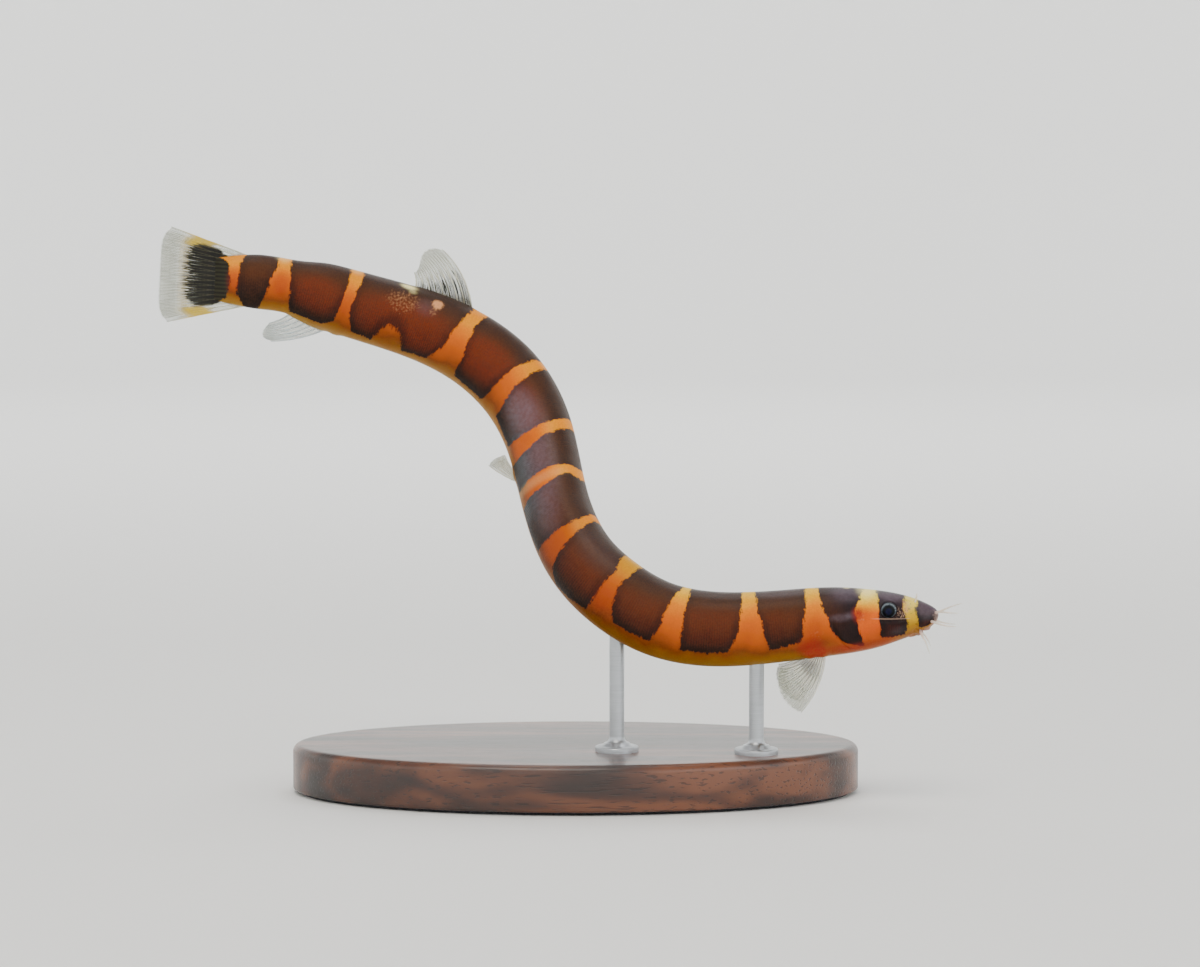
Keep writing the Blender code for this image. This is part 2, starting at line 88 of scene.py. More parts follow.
class Tint(Enum):
    """Soft patches of colour on the skin, two of them partly painted highlight or sheen. Each is a
    vertex attribute of that name.
    """

    BLUSH = "blush"
    # Pale spots, and a painted highlight on the ridge at the rear of the back fin's root.
    CREAM = "cream"
    PEACH = "peach"
    # Mauve-grey mottling, most of it a painted sheen and highlights on the dark skin.
    SILVER = "silver"
    FRECKLE = "freckle"
    RUST = "rust"
    STRIPE = "stripe"


def paint(code: str) -> tuple[float, float, float, float]:
    """Turn a hex colour into the linear values of a shader socket.

    Args:
        code: The colour as six hex digits, as on a screen.

    Returns:
        Linear red, green, blue and an alpha of one.
    """
    parts = [int(code[i:i + 2], 16) / 255 for i in (0, 2, 4)]
    linear = [c / 12.92 if c <= 0.04045 else ((c + 0.055) / 1.055) ** 2.4 for c in parts]
    return (*linear, 1.0)


class Graph:
    """A material whose nodes are added and joined by short calls."""

    def __init__(self, name: str) -> None:
        """Start a material with its own surface shader.

        Args:
            name: Name of the material.
        """
        self.material = bpy.data.materials.new(name)
        self.material.use_nodes = True
        self.tree = self.material.node_tree
        self.shader = self.tree.nodes["Principled BSDF"]

    def feed(self, socket: Socket, value: object) -> None:
        """Join a socket to another one, or set its value.

        Args:
            socket: The input socket.
            value: An output socket or a plain value.
        """
        if isinstance(value, bpy.types.NodeSocket):
            self.tree.links.new(value, socket)
        else:
            socket.default_value = value

    def surface(self, gloss: float = 0.5, **values: object) -> None:
        """Set the surface shader's inputs, named in words joined by underscores.

        Args:
            gloss: Strength of the plain reflection.
            values: An output socket or a plain value for each input.
        """
        self.shader.inputs["Specular IOR Level"].default_value = gloss
        for words, value in values.items():
            self.feed(self.shader.inputs[words.replace("_", " ").title()], value)

    def node(self, kind: str, output: object, settings: dict | None = None,
             **inputs: object) -> Socket:
        """Add a node with its settings and inputs.

        Args:
            kind: Kind of the node.
            output: Name or number of the output that is wanted.
            settings: The node's own settings.
            inputs: An output socket or a plain value for each input, whose name has underscores
                in place of its spaces.

        Returns:
            The output.
        """
        node = self.tree.nodes.new(f"ShaderNode{kind}")
        for name, setting in (settings or {}).items():
            setattr(node, name, setting)
        for words, value in inputs.items():
            self.feed(node.inputs[words.replace("_", " ")], value)
        return node.outputs[output]

    def attribute(self, name: str) -> Socket:
        """Return a number kept on the piece's vertices under this name."""
        return self.node("Attribute", "Fac", {"attribute_name": name})

    def place(self, scale: tuple[float, float, float] = (1.0, 1.0, 1.0)) -> Socket:
        """Return the place in the piece, stretched by a scale along each axis."""
        here = self.node("TexCoord", "Object")
        return self.node("Mapping", "Vector", Vector=here, Scale=scale)

    def pair(self, first: Socket, second: Socket) -> Socket:
        """Return a vector made of two numbers."""
        return self.node("CombineXYZ", "Vector", X=first, Y=second)

    def noise(self, place: Socket, scale: float, detail: float = 2.0) -> Socket:
        """Return smooth noise from about 0.25 to 0.75, with scale blotches in a unit."""
        return self.node("TexNoise", 0, Vector=place, Scale=scale, Detail=detail)

    def swing(self, place: Socket, scale: float, detail: float = 1.0) -> Socket:
        """Return smooth noise about zero, from about -0.25 to 0.25."""
        return self.calc("SUBTRACT", self.noise(place, scale, detail), 0.5)

    def cells(self, place: Socket, scale: float) -> Socket:
        """Return the distance to the nearest of many scattered points."""
        return self.node("TexVoronoi", "Distance", Vector=place, Scale=scale)

    def bump(self, height: Socket, depth: float, **below: Socket) -> Socket:
        """Return a normal that follows a height, added to the Normal below if one is given."""
        return self.node("Bump", "Normal", Height=height, Distance=depth, **below)

    def calc(self, operation: str, *values: object) -> Socket:
        """Work out a sum.

        Args:
            operation: Its kind, such as ADD or MULTIPLY.
            values: The sockets or numbers that it takes.

        Returns:
            The result.
        """
        node = self.tree.nodes.new("ShaderNodeMath")
        node.operation = operation
        for socket, value in zip(node.inputs, values):
            self.feed(socket, value)
        return node.outputs[0]

    def times(self, first: object, second: object) -> Socket:
        """Return the product of two sockets or numbers."""
        return self.calc("MULTIPLY", first, second)

    def add(self, base: object, value: object, factor: float) -> Socket:
        """Return a base with a value added to it as often as the factor says."""
        return self.calc("MULTIPLY_ADD", value, factor, base)

    def span(self, value: Socket, low: float, high: float, start: float = 0.0,
             end: float = 1.0) -> Socket:
        """Return a number that goes smoothly from start to end as the value rises to high."""
        return self.node("MapRange", "Result", {"interpolation_type": "SMOOTHSTEP"}, Value=value,
                         From_Min=low, From_Max=high, To_Min=start, To_Max=end)

    def window(self, value: Socket, start: float, full: float, fade: float,
               end: float) -> Socket:
        """Return a number that rises to 1 from start to full and falls to 0 from fade to end."""
        return self.times(self.span(value, start, full), self.span(value, end, fade))

    def ramp(self, value: Socket, stops: Stops) -> Socket:
        """Return a colour that goes through stops given in the value's own units.

        Args:
            value: The number that picks the colour.
            stops: Number and hex colour of each stop, in rising order.

        Returns:
            The colour.
        """
        low, high = stops[0][0], stops[-1][0]
        share = self.node("MapRange", "Result", Value=value, From_Min=low, From_Max=high)
        node = self.tree.nodes.new("ShaderNodeValToRGB")
        self.feed(node.inputs["Fac"], share)
        bands = node.color_ramp.elements
        while len(bands) < len(stops):
            bands.new(1.0)
        for band, (number, code) in zip(bands, stops):
            band.position = (number - low) / (high - low)
            band.color = paint(code)
        return node.outputs["Color"]

    def mix(self, share: object, first: object, second: object, way: str = "MIX") -> Socket:
        """Return a colour between two colours.

        Args:
            share: Share of the second colour.
            first: The first colour, or its hex code.
            second: The second colour, or its hex code.
            way: How the second colour meets the first.

        Returns:
            The mixed colour.
        """
        node = self.tree.nodes.new("ShaderNodeMix")
        node.data_type = "RGBA"
        node.blend_type = way
        colours = [s for s in node.inputs if s.type == "RGBA"]
        self.feed(node.inputs["Factor"], share)
        for socket, colour in zip(colours, (first, second)):
            self.feed(socket, paint(colour) if isinstance(colour, str) else colour)
        return next(s for s in node.outputs if s.type == "RGBA")


def spline(knots: np.ndarray, values: np.ndarray) -> Callable[[np.ndarray], tuple]:
    """Return the smooth curve through values at rising knots.

    Args:
        knots: The knots.
        values: A row of numbers for each knot.

    Returns:
        A function from knots to a pair of arrays, the values there and their slopes.
    """
    steps, count = np.diff(knots), len(knots)
    slopes = np.diff(values, axis=0) / steps[:, None]
    system = np.eye(count)
    wanted = np.zeros_like(values)
    for i in range(1, count - 1):
        before, after = steps[i - 1], steps[i]
        system[i, i - 1:i + 2] = before, 2 * (before + after), after
        wanted[i] = 6 * (slopes[i] - slopes[i - 1])
    bend = np.linalg.solve(system, wanted)

    def at(knot: np.ndarray) -> tuple:
        """Read the curve.

        Args:
            knot: One knot or more.

        Returns:
            The values and the slopes there.
        """
        knot = np.atleast_1d(knot)
        i = np.clip(np.searchsorted(knots, knot) - 1, 0, count - 2)
        h = steps[i][:, None]
        a, b = (knots[i + 1] - knot)[:, None] / h, (knot - knots[i])[:, None] / h
        value = a * values[i] + b * values[i + 1]
        value = value + ((a ** 3 - a) * bend[i] + (b ** 3 - b) * bend[i + 1]) * h * h / 6
        slope = (values[i + 1] - values[i]) / h
        slope = slope + ((3 * b * b - 1) * bend[i + 1] - (3 * a * a - 1) * bend[i]) * h / 6
        return value, slope

    return at


def unit(vectors: np.ndarray) -> np.ndarray:
    """Return vectors with their length made one."""
    return vectors / np.maximum(np.linalg.norm(vectors, axis=-1, keepdims=True), 1e-12)


def lengths_along(points: np.ndarray) -> np.ndarray:
    """Return the length of a path from its start to each of its points."""
    steps = np.linalg.norm(np.diff(points, axis=0), axis=1)
    return np.concatenate(([0.0], np.cumsum(steps)))


def rise_of(around: np.ndarray) -> np.ndarray:
    """Return the rise of angles round a section, from -90 on the belly to 90 on the back."""
    around = np.mod(around, 360.0)
    return np.where(around <= 90, around, np.where(around <= 270, 180 - around, around - 360))


def round_to(side: Side, rise: np.ndarray) -> np.ndarray:
    """Return the angle round a section of a rise on one side."""
    return rise if side is Side.LEFT else 180.0 - np.asarray(rise)


@dataclass(frozen=True)
class LoachBody:
    """The bent body that every piece of the fish is set out on.

    spine has places on the centre line in mm, from the snout on. girth has distances in mm with
    the height above and below the centre line and half of the width there. roll has the degrees
    by which the section leans at the distances of roll_at. wedge is the length of the thin end
    behind the body, wedge_shrink how much lower it gets and wedge_power how its width goes.
    Directions are read over a step along and a turn round, and no nearer to the snout than tip.
    """

    spine: tuple = (
        (36.3, -8.5, 19.2), (31.5, -8.0, 18.8), (25.5, -7.6, 18.4), (19.0, -7.5, 17.8),
        (13.5, -7.4, 17.6), (8.5, -6.9, 18.5), (4.2, -5.8, 20.8), (0.9, -3.9, 23.8),
        (-1.3, -0.9, 27.6), (-2.6, 2.5, 31.8), (-4.0, 5.7, 36.7), (-6.7, 7.8, 41.4),
        (-11.1, 8.7, 45.2), (-16.9, 8.7, 47.9), (-24.4, 7.7, 50.2), (-30.9, 6.5, 51.9),
        (-36.2, 5.7, 52.4))
    girth: tuple = (
        (0.0, 0.0, 0.0, 0.0), (1.7, 1.45, 1.65, 1.4), (3.7, 2.25, 2.25, 2.0),
        (6.7, 2.9, 3.05, 2.45), (10.7, 3.35, 3.5, 2.75), (16.0, 3.5, 3.7, 2.9),
        (24.0, 3.75, 3.8, 2.95), (37.0, 3.7, 3.75, 2.9), (49.0, 3.55, 3.6, 2.8),
        (62.0, 3.95, 3.9, 2.85), (71.0, 3.7, 3.75, 2.65), (81.0, 3.45, 3.5, 2.2),
        (83.5, 3.3, 3.3, 1.95), (86.0, 2.85, 2.85, 1.6), (90.0, 2.8, 2.8, 1.25),
        (93.0, 2.4, 2.4, 0.85))
    roll_at: tuple = (0.0, 24.0, 33.0, 38.0, 45.0, 52.0, 57.0, 62.0, 73.0, 81.0, 88.0, 93.0)
    roll: tuple = (0.0, 0.0, 8.0, 20.0, 28.0, 28.0, 18.0, 8.0, 9.0, 4.0, 0.0, 0.0)
    section_power: float = 2.2
    end: float = 92.6 * MM
    wedge: float = 1.7 * MM
    wedge_shrink: float = 0.12
    wedge_power: float = 0.8
    samples: int = 800
    step: float = 0.02 * MM
    turn: float = 1.0
    tip: float = 0.015 * MM
    tracks: dict = field(default_factory=dict, compare=False)

    def __post_init__(self) -> None:
        """Work out the curves of the centre line and of the girth."""
        spine, girth = MM * np.array(self.spine), MM * np.array(self.girth)
        knots = lengths_along(spine)
        curve = spline(knots, spine)
        places = np.linspace(0.0, knots[-1], self.samples)
        self.tracks.update(curve=curve, places=places, lengths=lengths_along(curve(places)[0]),
                           girth=spline(np.sqrt(girth[:, 0]), girth[:, 1:]))

    def frames(self, distance: np.ndarray) -> tuple:
        """Return centres with their forward, left and up directions.

        Args:
            distance: Distances from the snout.

        Returns:
            Four arrays with a row for each distance.
        """
        distance = np.atleast_1d(np.asarray(distance, dtype=float))
        kept = np.minimum(distance, self.end)
        places = np.interp(kept, self.tracks["lengths"], self.tracks["places"])
        centre, slope = self.tracks["curve"](places)
        forward = unit(-slope)
        centre = centre - (distance - kept)[:, None] * forward
        left = unit(np.array((0.0, 1.0, 0.0)) - forward[:, 1:2] * forward)
        up = np.cross(forward, left)
        roll = np.radians(np.interp(kept, MM * np.array(self.roll_at), self.roll))[:, None]
        rolled_up = np.cos(roll) * up - np.sin(roll) * left
        rolled_left = np.cos(roll) * left + np.sin(roll) * up
        return centre, forward, rolled_left, rolled_up

    def sizes(self, distance: np.ndarray) -> tuple:
        """Return height above and below the centre line and half of the width.

        Behind the body's end the section narrows to the thin wedge that holds the tail fin.

        Args:
            distance: Distances from the snout.

        Returns:
            Three arrays.
        """
        kept = np.clip(distance, 0.0, self.end)
        above, below, half = self.tracks["girth"](np.sqrt(kept))[0].T
        share = np.clip((distance - self.end) / self.wedge, 0.0, 1.0)
        shrink = 1 - self.wedge_shrink * share
        return above * shrink, below * shrink, half * (1 - share) ** self.wedge_power

    def surface(self, distance: np.ndarray, around: np.ndarray) -> np.ndarray:
        """Return points of the smooth skin.

        Args:
            distance: Distances from the snout.
            around: Angles round the section.

        Returns:
            A row for each point.
        """
        distance = np.atleast_1d(np.asarray(distance, dtype=float))
        angle = np.radians(np.broadcast_to(around, distance.shape))
        centre, _, left, up = self.frames(distance)
        above, below, half = self.sizes(distance)
        power = 2 / self.section_power
        sideways = half * np.sign(np.cos(angle)) * np.abs(np.cos(angle)) ** power
        upwards = np.where(np.sin(angle) > 0, above, below)
        upwards = upwards * np.sign(np.sin(angle)) * np.abs(np.sin(angle)) ** power
        return centre + sideways[:, None] * left + upwards[:, None] * up

    def outward(self, distance: np.ndarray, around: np.ndarray) -> np.ndarray:
        """Return the skin's outward directions at places.

        Args:
            distance: Distances from the snout.
            around: Angles round the section.

        Returns:
            A row for each place.
        """
        distance = np.atleast_1d(np.asarray(distance, dtype=float))
        around = np.broadcast_to(around, distance.shape)
        near = np.maximum(distance, self.tip)
        front = np.maximum(distance - self.step, self.tip)
        along = self.surface(near + self.step, around) - self.surface(front, around)
        aside = self.surface(near, around + self.turn) - self.surface(near, around - self.turn)
        return unit(np.cross(along, aside))

    def lifted(self, distance: np.ndarray, around: np.ndarray, lift: float) -> np.ndarray:
        """Return points that stand off the smooth skin by a lift."""
        return self.surface(distance, around) + lift * self.outward(distance, around)


def new_sheet(shape: bmesh.types.BMesh, columns: int, rows: int) -> list:
    """Add a flat grid, whose vertices then get their places.

    Args:
        shape: The mesh that gets the grid.
        columns: Number of faces across.
        rows: Number of faces from one end to the other.

    Returns:
        The new vertices, with their shares across and along.
    """
    grid = bmesh.ops.create_grid(shape, x_segments=columns, y_segments=rows, size=0.5,
                                 calc_uvs=True)
    flat = np.array([vertex.co[:2] for vertex in grid["verts"]]) + 0.5
    return [grid["verts"], flat[:, 0], flat[:, 1]]


def set_out(vertices: Sequence, points: np.ndarray) -> None:
    """Move vertices to their places."""
    for vertex, point in zip(vertices, points):
        vertex.co = point


def note(shape: bmesh.types.BMesh, vertices: Sequence, name: str, values: np.ndarray) -> None:
    """Keep a number on each vertex under a name that the mesh was started with.

    Args:
        shape: The mesh.
        vertices: Its vertices.
        name: Name of the attribute.
        values: A number for each vertex.
    """
    layer = shape.verts.layers.float[name]
    for vertex, value in zip(vertices, np.broadcast_to(values, (len(vertices),))):
        vertex[layer] = float(value)


def new_tube(shape: bmesh.types.BMesh, path: np.ndarray, radii: np.ndarray, sides: int) -> list:
    """Add a round tube along a path, closed by a point at each end.

    Args:
        shape: The mesh that gets the tube.
        path: A row for each point of the centre line.
        radii: The radius at each point.
        sides: Number of faces round it.

    Returns:
        The new vertices and their shares along the tube.
    """
    path = np.vstack((path[:1], path, path[-1:]))
    radii = np.concatenate(([0.0], radii, [0.0]))
    ahead = unit(np.gradient(path, axis=0))
    ahead[0], ahead[-1] = ahead[1], ahead[-2]
    least = np.eye(3)[np.argmin(np.abs(ahead[len(ahead) // 2]))]
    first = unit(np.cross(ahead, least))
    second = np.cross(ahead, first)
    last = len(path) - 1
    vertices, across, along = new_sheet(shape, sides, last)
    i = np.round(along * last).astype(int)
    turn = (2 * np.pi * across)[:, None]
    wall = np.cos(turn) * first[i] + np.sin(turn) * second[i]
    set_out(vertices, path[i] + radii[i][:, None] * wall)
    return [vertices, along]


def new_shape(*names: str) -> bmesh.types.BMesh:
    """Start a mesh that keeps a UV map.

    Args:
        names: The numbers that it keeps on its vertices.

    Returns:
        The empty mesh.
    """
    shape = bmesh.new()
    shape.loops.layers.uv.new("UVMap")
    for name in names:
        shape.verts.layers.float.new(name)
    return shape


def new_turning(shape: bmesh.types.BMesh, outline: Sequence, middle: tuple, steps: int) -> None:
    """Add an outline turned round an upright axis.

    Args:
        shape: The mesh that gets it.
        outline: Radius and height of each point.
        middle: Place of the axis on the floor.
        steps: Number of faces round it.
    """
    x, y = middle
    vertices = [shape.verts.new((x + radius, y, height)) for radius, height in outline]
    edges = [shape.edges.new(two) for two in zip(vertices, vertices[1:])]
    bmesh.ops.spin(shape, geom=vertices + edges, cent=(x, y, 0.0), axis=(0.0, 0.0, 1.0),
                   dvec=(0.0, 0.0, 0.0), angle=2 * math.pi, steps=steps, use_merge=True,
                   use_duplicate=False)


def quarter(steps: int) -> list:
    """Return the sine and cosine of each step of a quarter turn, with both ends."""
    return [(math.sin(turn), math.cos(turn))
            for turn in np.radians(np.linspace(0.0, 90.0, steps + 1)).tolist()]


def new_object(name: str, data: bpy.types.ID) -> bpy.types.Object:
    """Put a new object into the scene.

    Args:
        name: Its name.
        data: Its mesh, lamp or camera.

    Returns:
        The object.
    """
    made = bpy.data.objects.new(name, data)
    bpy.context.scene.collection.objects.link(made)
    return made


def smooth_object(name: str, shape: bmesh.types.BMesh, finishes: Sequence) -> bpy.types.Object:
    """Turn a mesh into a smoothly shaded object.

    Args:
        name: Name of the object.
        shape: Its mesh, which is freed.
        finishes: Its materials.

    Returns:
        The object.
    """
    data = bpy.data.meshes.new(name)
    shape.to_mesh(data)
    shape.free()
    data.shade_smooth()
    for finish in finishes:
        data.materials.append(finish)
    return new_object(name, data)


def as_piece(name: str, shape: bmesh.types.BMesh, finishes: Sequence, slot: Slot,
             nodes: Sequence[str]) -> bpy.types.Object:
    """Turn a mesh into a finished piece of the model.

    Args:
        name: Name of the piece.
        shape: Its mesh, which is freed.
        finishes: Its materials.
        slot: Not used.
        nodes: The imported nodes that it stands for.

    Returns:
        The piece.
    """
    bmesh.ops.remove_doubles(shape, verts=shape.verts[:], dist=WELD)
    bmesh.ops.dissolve_degenerate(shape, edges=shape.edges[:], dist=WELD / 4)
    shape.normal_update()
    bmesh.ops.recalc_face_normals(shape, faces=shape.faces[:])
    piece = smooth_object(name, shape, finishes)
    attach(piece, "root")
    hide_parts(*nodes)
    LOG.info("%s: %d faces, stands for %s", name, len(piece.data.polygons), ", ".join(nodes))
    return piece


@dataclass(frozen=True)
class Saddle:
    """A dark saddle over the back, given in mm and degrees.

    edges has the rise and the distances of the front and rear edges, from the belly to the
    back. low has the rise of the lower edge at its front, middle and rear.
    """

    edges: tuple
    low: tuple

    def inside(self, along: np.ndarray, rise: np.ndarray) -> np.ndarray:
        """Return how many mm places lie inside the saddle's outline.

        Args:
            along: Distances in mm.
            rise: Rises in degrees.

        Returns:
            The depth at each place, negative outside.
        """
        rises, fronts, rears = np.array(self.edges).T
        front, rear = np.interp(rise, rises, fronts), np.interp(rise, rises, rears)
        share = (along - front) / np.maximum(rear - front, 0.1)
        low = np.interp(share, (0.0, 0.5, 1.0), self.low)
        return np.minimum(np.minimum(along - front, rear - along), (rise - low) * MM_PER_DEGREE)


@dataclass(frozen=True)
class Patch:
    """A soft oval patch, given by its middle and half sizes in mm and degrees."""

    along: float
    rise: float
    half_length: float
    half_rise: float
    strength: float

    def share(self, along: np.ndarray, rise: np.ndarray) -> np.ndarray:
        """Return how strong the patch is at places.

        Args:
            along: Distances in mm.
            rise: Rises in degrees.

        Returns:
            The strength at each place.
        """
        off = ((along - self.along) / self.half_length) ** 2
        off = off + ((rise - self.rise) / self.half_rise) ** 2
        return self.strength * np.exp(-off ** 2)


SADDLES = (
    Saddle(((-60, -2, 1.6), (-24, -2, 2.1), (16, -2, 2.2), (90, -2, 1.9)), (-40, -40, -40)),
    Saddle(((-46, 3.5, 5.6), (-26, 3.1, 5.9), (0, 3.1, 5.9), (21, 3.4, 5.9), (45, 3.3, 5.9),
            (70, 3.2, 6.1), (90, 3.2, 6.2)), (-46, -45, -36)),
    Saddle(((-50, 7.4, 7.9), (-28, 7.8, 10), (-8, 8, 10.9), (10, 8.25, 11.2),
            (24, 8.3, 11.5), (42, 7.8, 11.7), (74, 7.4, 11.8), (90, 7.3, 11.9)), (-50, -50, -50)),
    Saddle(((-30, 14.1, 17.3), (8, 13.5, 17.8), (32, 13.2, 18.1), (90, 13, 18.1)),
           (-23, -29, -33)),
    Saddle(((-26, 21, 25.4), (-4, 20.2, 25.5), (16, 19.9, 25.6), (52, 19.6, 25.5),
            (90, 19.4, 25.3)), (-31, -34, -32)),
    Saddle(((-28, 28, 31.6), (-1, 27.5, 32.4), (18, 27.5, 32.8), (40, 27.2, 32.6),
            (90, 26.3, 32.4)), (-31, -30, -28)),
    Saddle(((-57, 34.4, 37.8), (-31, 34.1, 38.7), (-10, 34, 39.2), (12, 34.1, 39.4),
            (42, 33.9, 39.8), (64, 34.5, 40.2), (90, 34.8, 40.6)), (-41, -49, -56)),
    Saddle(((-40, 41.1, 46), (-24, 41.1, 46.3), (10, 41.1, 46.6), (54, 41.1, 47.4),
            (90, 41.7, 46.7)), (-50, -53, -52)),
    Saddle(((-24, 48, 51.4), (0, 48.3, 51.8), (22, 48.5, 52.5), (54, 48.5, 52.8),
            (90, 48.2, 53.2)), (-52, -54, -52)),
    Saddle(((-30, 53.7, 58.3), (11, 53.8, 59.5), (36, 54, 59.7), (67, 54.1, 59.7),
            (90, 54.2, 59.6)), (-47, -47, -44)),
    Saddle(((-55, 61.4, 66.2), (-38, 61.2, 66.4), (-6, 61.3, 66.6), (16, 61.3, 67),
            (44, 61, 67.1), (90, 60.5, 66.6)), (-50, -53, -50)),
    Saddle(((-43, 70.4, 79.3), (-6, 69, 80.1), (14, 68.9, 80), (48, 68.4, 79.6),
            (90, 68, 79.5)), (-44, -55, -46)),
    Saddle(((-55, 82.4, 86.1), (-32, 81.3, 86.4), (13, 81, 86.7), (44, 80.9, 86.9),
            (90, 80.9, 86.9)), (-52, -57, -62)),
    Saddle(((-70, 89.6, 91.2), (-21, 88.9, 92.1), (2, 88.7, 92), (36, 88.1, 91.8),
            (90, 88, 91.1)), (-84, -84, -84)),
    Saddle(((-90, 94, 99), (-45, 93, 99), (0, 92.7, 99), (45, 93, 99),
            (90, 94, 99)), (-99, -99, -99)))
# Oval openings in the saddles: distance, rise, half length in mm and half height in degrees.
WINDOWS = ((75.2, -64.0, 1.75, 56.0),)

# The patches of each tint: distance, rise, half length, half rise and strength.
PATCHES = {tint: tuple(Patch(*row) for row in rows) for tint, rows in {
    Tint.BLUSH: ((8.1, 13, 0.55, 13, 0.7), (7.4, 14, 0.8, 14, 0.3), (13, -40, 1.5, 22, 0.95),
        (10.3, -52, 2.6, 14, 0.7), (12.6, -6, 0.9, 18, 0.3), (6.6, -50, 2.4, 14, 0.4),
        (3.2, -62, 0.7, 18, 0.2), (87.6, 4, 0.8, 26, 0.38), (92.5, 0, 0.6, 28, 0.34),
        (80.6, 4, 0.6, 24, 0.25), (33.3, -4, 0.9, 24, 0.2), (19, -2, 0.8, 20, 0.12)),
    # Pale spots; the two near 74 mm on the ridge at the rear of the back fin are a painted
    # highlight.
    Tint.CREAM: ((74.7, 77, 0.8, 10, 1), (7, 82, 1, 34, 0.6), (9, 90, 0.35, 10, 0.6),
        (80.3, 86, 0.7, 20, 0.2), (87.6, 80, 0.7, 26, 0.3), (2.6, 60, 0.6, 36, 0.25),
        (74.2, 63, 0.4, 6, 0.35), (47.6, 0, 0.6, 60, 0.12)),
    Tint.PEACH: ((71.4, 53, 0.62, 12, 1), (3.1, 32, 0.45, 26, 0.6), (1.1, -68, 1.1, 26, 0.6),
        (2.5, -74, 1.2, 18, 0.5), (12.3, -14, 0.8, 12, 0.2), (7.7, 6, 0.45, 9, 0.35),
        (0, -8, 0.6, 80, 0.6), (71.6, 34, 0.5, 9, 0.3), (74.9, 36, 2.1, 26, 0.3)),
    # Mottling that is mostly painted sheen and highlight: along the back, on the snout, in an arc
    # over the gill and on the middle of the body.
    Tint.SILVER: ((4.5, 62, 1.6, 22, 0.75), (9, 62, 1.5, 24, 0.6), (9.7, 8, 1.3, 6, 0.5),
        (8.7, 12, 0.7, 6, 0.35), (1, 40, 1.2, 50, 0.8), (3.9, -28, 1, 12, 0.2),
        (15.5, 80, 3.4, 26, 0.3), (50, 4, 8.5, 37, 0.85), (72.4, 40, 1.2, 18, 0.3),
        (37, 44, 4, 26, 0.14), (57, 6, 2.4, 24, 0.45)),
    Tint.FRECKLE: ((2.9, 36, 0.6, 26, 1), (3.5, 14, 0.7, 15, 1)),
    Tint.RUST: ((74, 0, 7, 40, 1), (64, 6, 4, 34, 1), (84, 2, 3, 34, 0.8), (57, 10, 4, 34, 0.5),
        (24, 6, 12, 30, 0.45), (37, 0, 4, 26, 0.3), (4.5, -24, 1.2, 16, 0.2),
        (1.5, -30, 0.8, 18, 0.3)),
    Tint.STRIPE: ((45.3, -36, 1.2, 12, 0.3), (50.2, -26, 1.4, 22, 0.12))}.items()}


@dataclass(frozen=True)
class Relief:
    """A ridge or groove of the skin along a curve through places, in mm and degrees of rise.

    width is half of its width and height its height, in mm. A curve across the middle has angles
    round the section in place of rises. One with soft ends runs out at both of them.
    """

    places: tuple
    width: float
    height: float
    middle: bool = False
    soft_ends: bool = True

    def offsets(self, body: LoachBody, points: np.ndarray) -> np.ndarray:
        """Return how far points of the skin move outwards.

        Args:
            body: The body that the places lie on.
            points: Points of the smooth skin.

        Returns:
            The distance for each point, negative inwards.
        """
        total = np.zeros(len(points))
        for side in (Side.LEFT,) if self.middle else Side:
            total += self.one_side(body, points, side)
        return total

    def one_side(self, body: LoachBody, points: np.ndarray, side: Side) -> np.ndarray:
        """Return how far points move outwards at the curve of one side.

        Args:
            body: The body that the places lie on.
            points: Points of the smooth skin.
            side: The side, which is free for a curve across the middle.

        Returns:
            The distance for each point.
        """
        track = np.array(self.places, dtype=float)
        curve = spline(np.linspace(0.0, 1.0, len(track)), track)
        shares = np.linspace(0.0, 1.0, CURVE_POINTS)
        distance, rise = curve(shares)[0].T
        around = rise if self.middle else round_to(side, rise)
        line = body.surface(distance * MM, around)
        apart = np.linalg.norm(points[:, None, :] - line[None, :, :], axis=2)
        nearest = np.argmin(apart, axis=1)
        off = np.clip(apart[np.arange(len(points)), nearest] / (self.width * MM), 0.0, 1.0)
        fade = np.sin(np.pi * shares)[nearest] ** 0.5 if self.soft_ends else 1.0
        return self.height * MM * (1 - off ** 2) ** 2 * fade


def mouth_arch(corner: float, shoulder: float, middle: float, spread: float) -> tuple:
    """Return places of an arch under the snout, as distances in mm and angles.

    Args:
        corner: Distance of the two corners.
        shoulder: Distance half way to the corners.
        middle: Distance on the middle line.
        spread: Degrees from the middle line to a corner.

    Returns:
        Five places, from the right corner to the left.
    """
    half = 0.45 * spread
    return ((corner, 270 - spread), (shoulder, 270 - half), (middle, 270), (shoulder, 270 + half),
            (corner, 270 + spread))


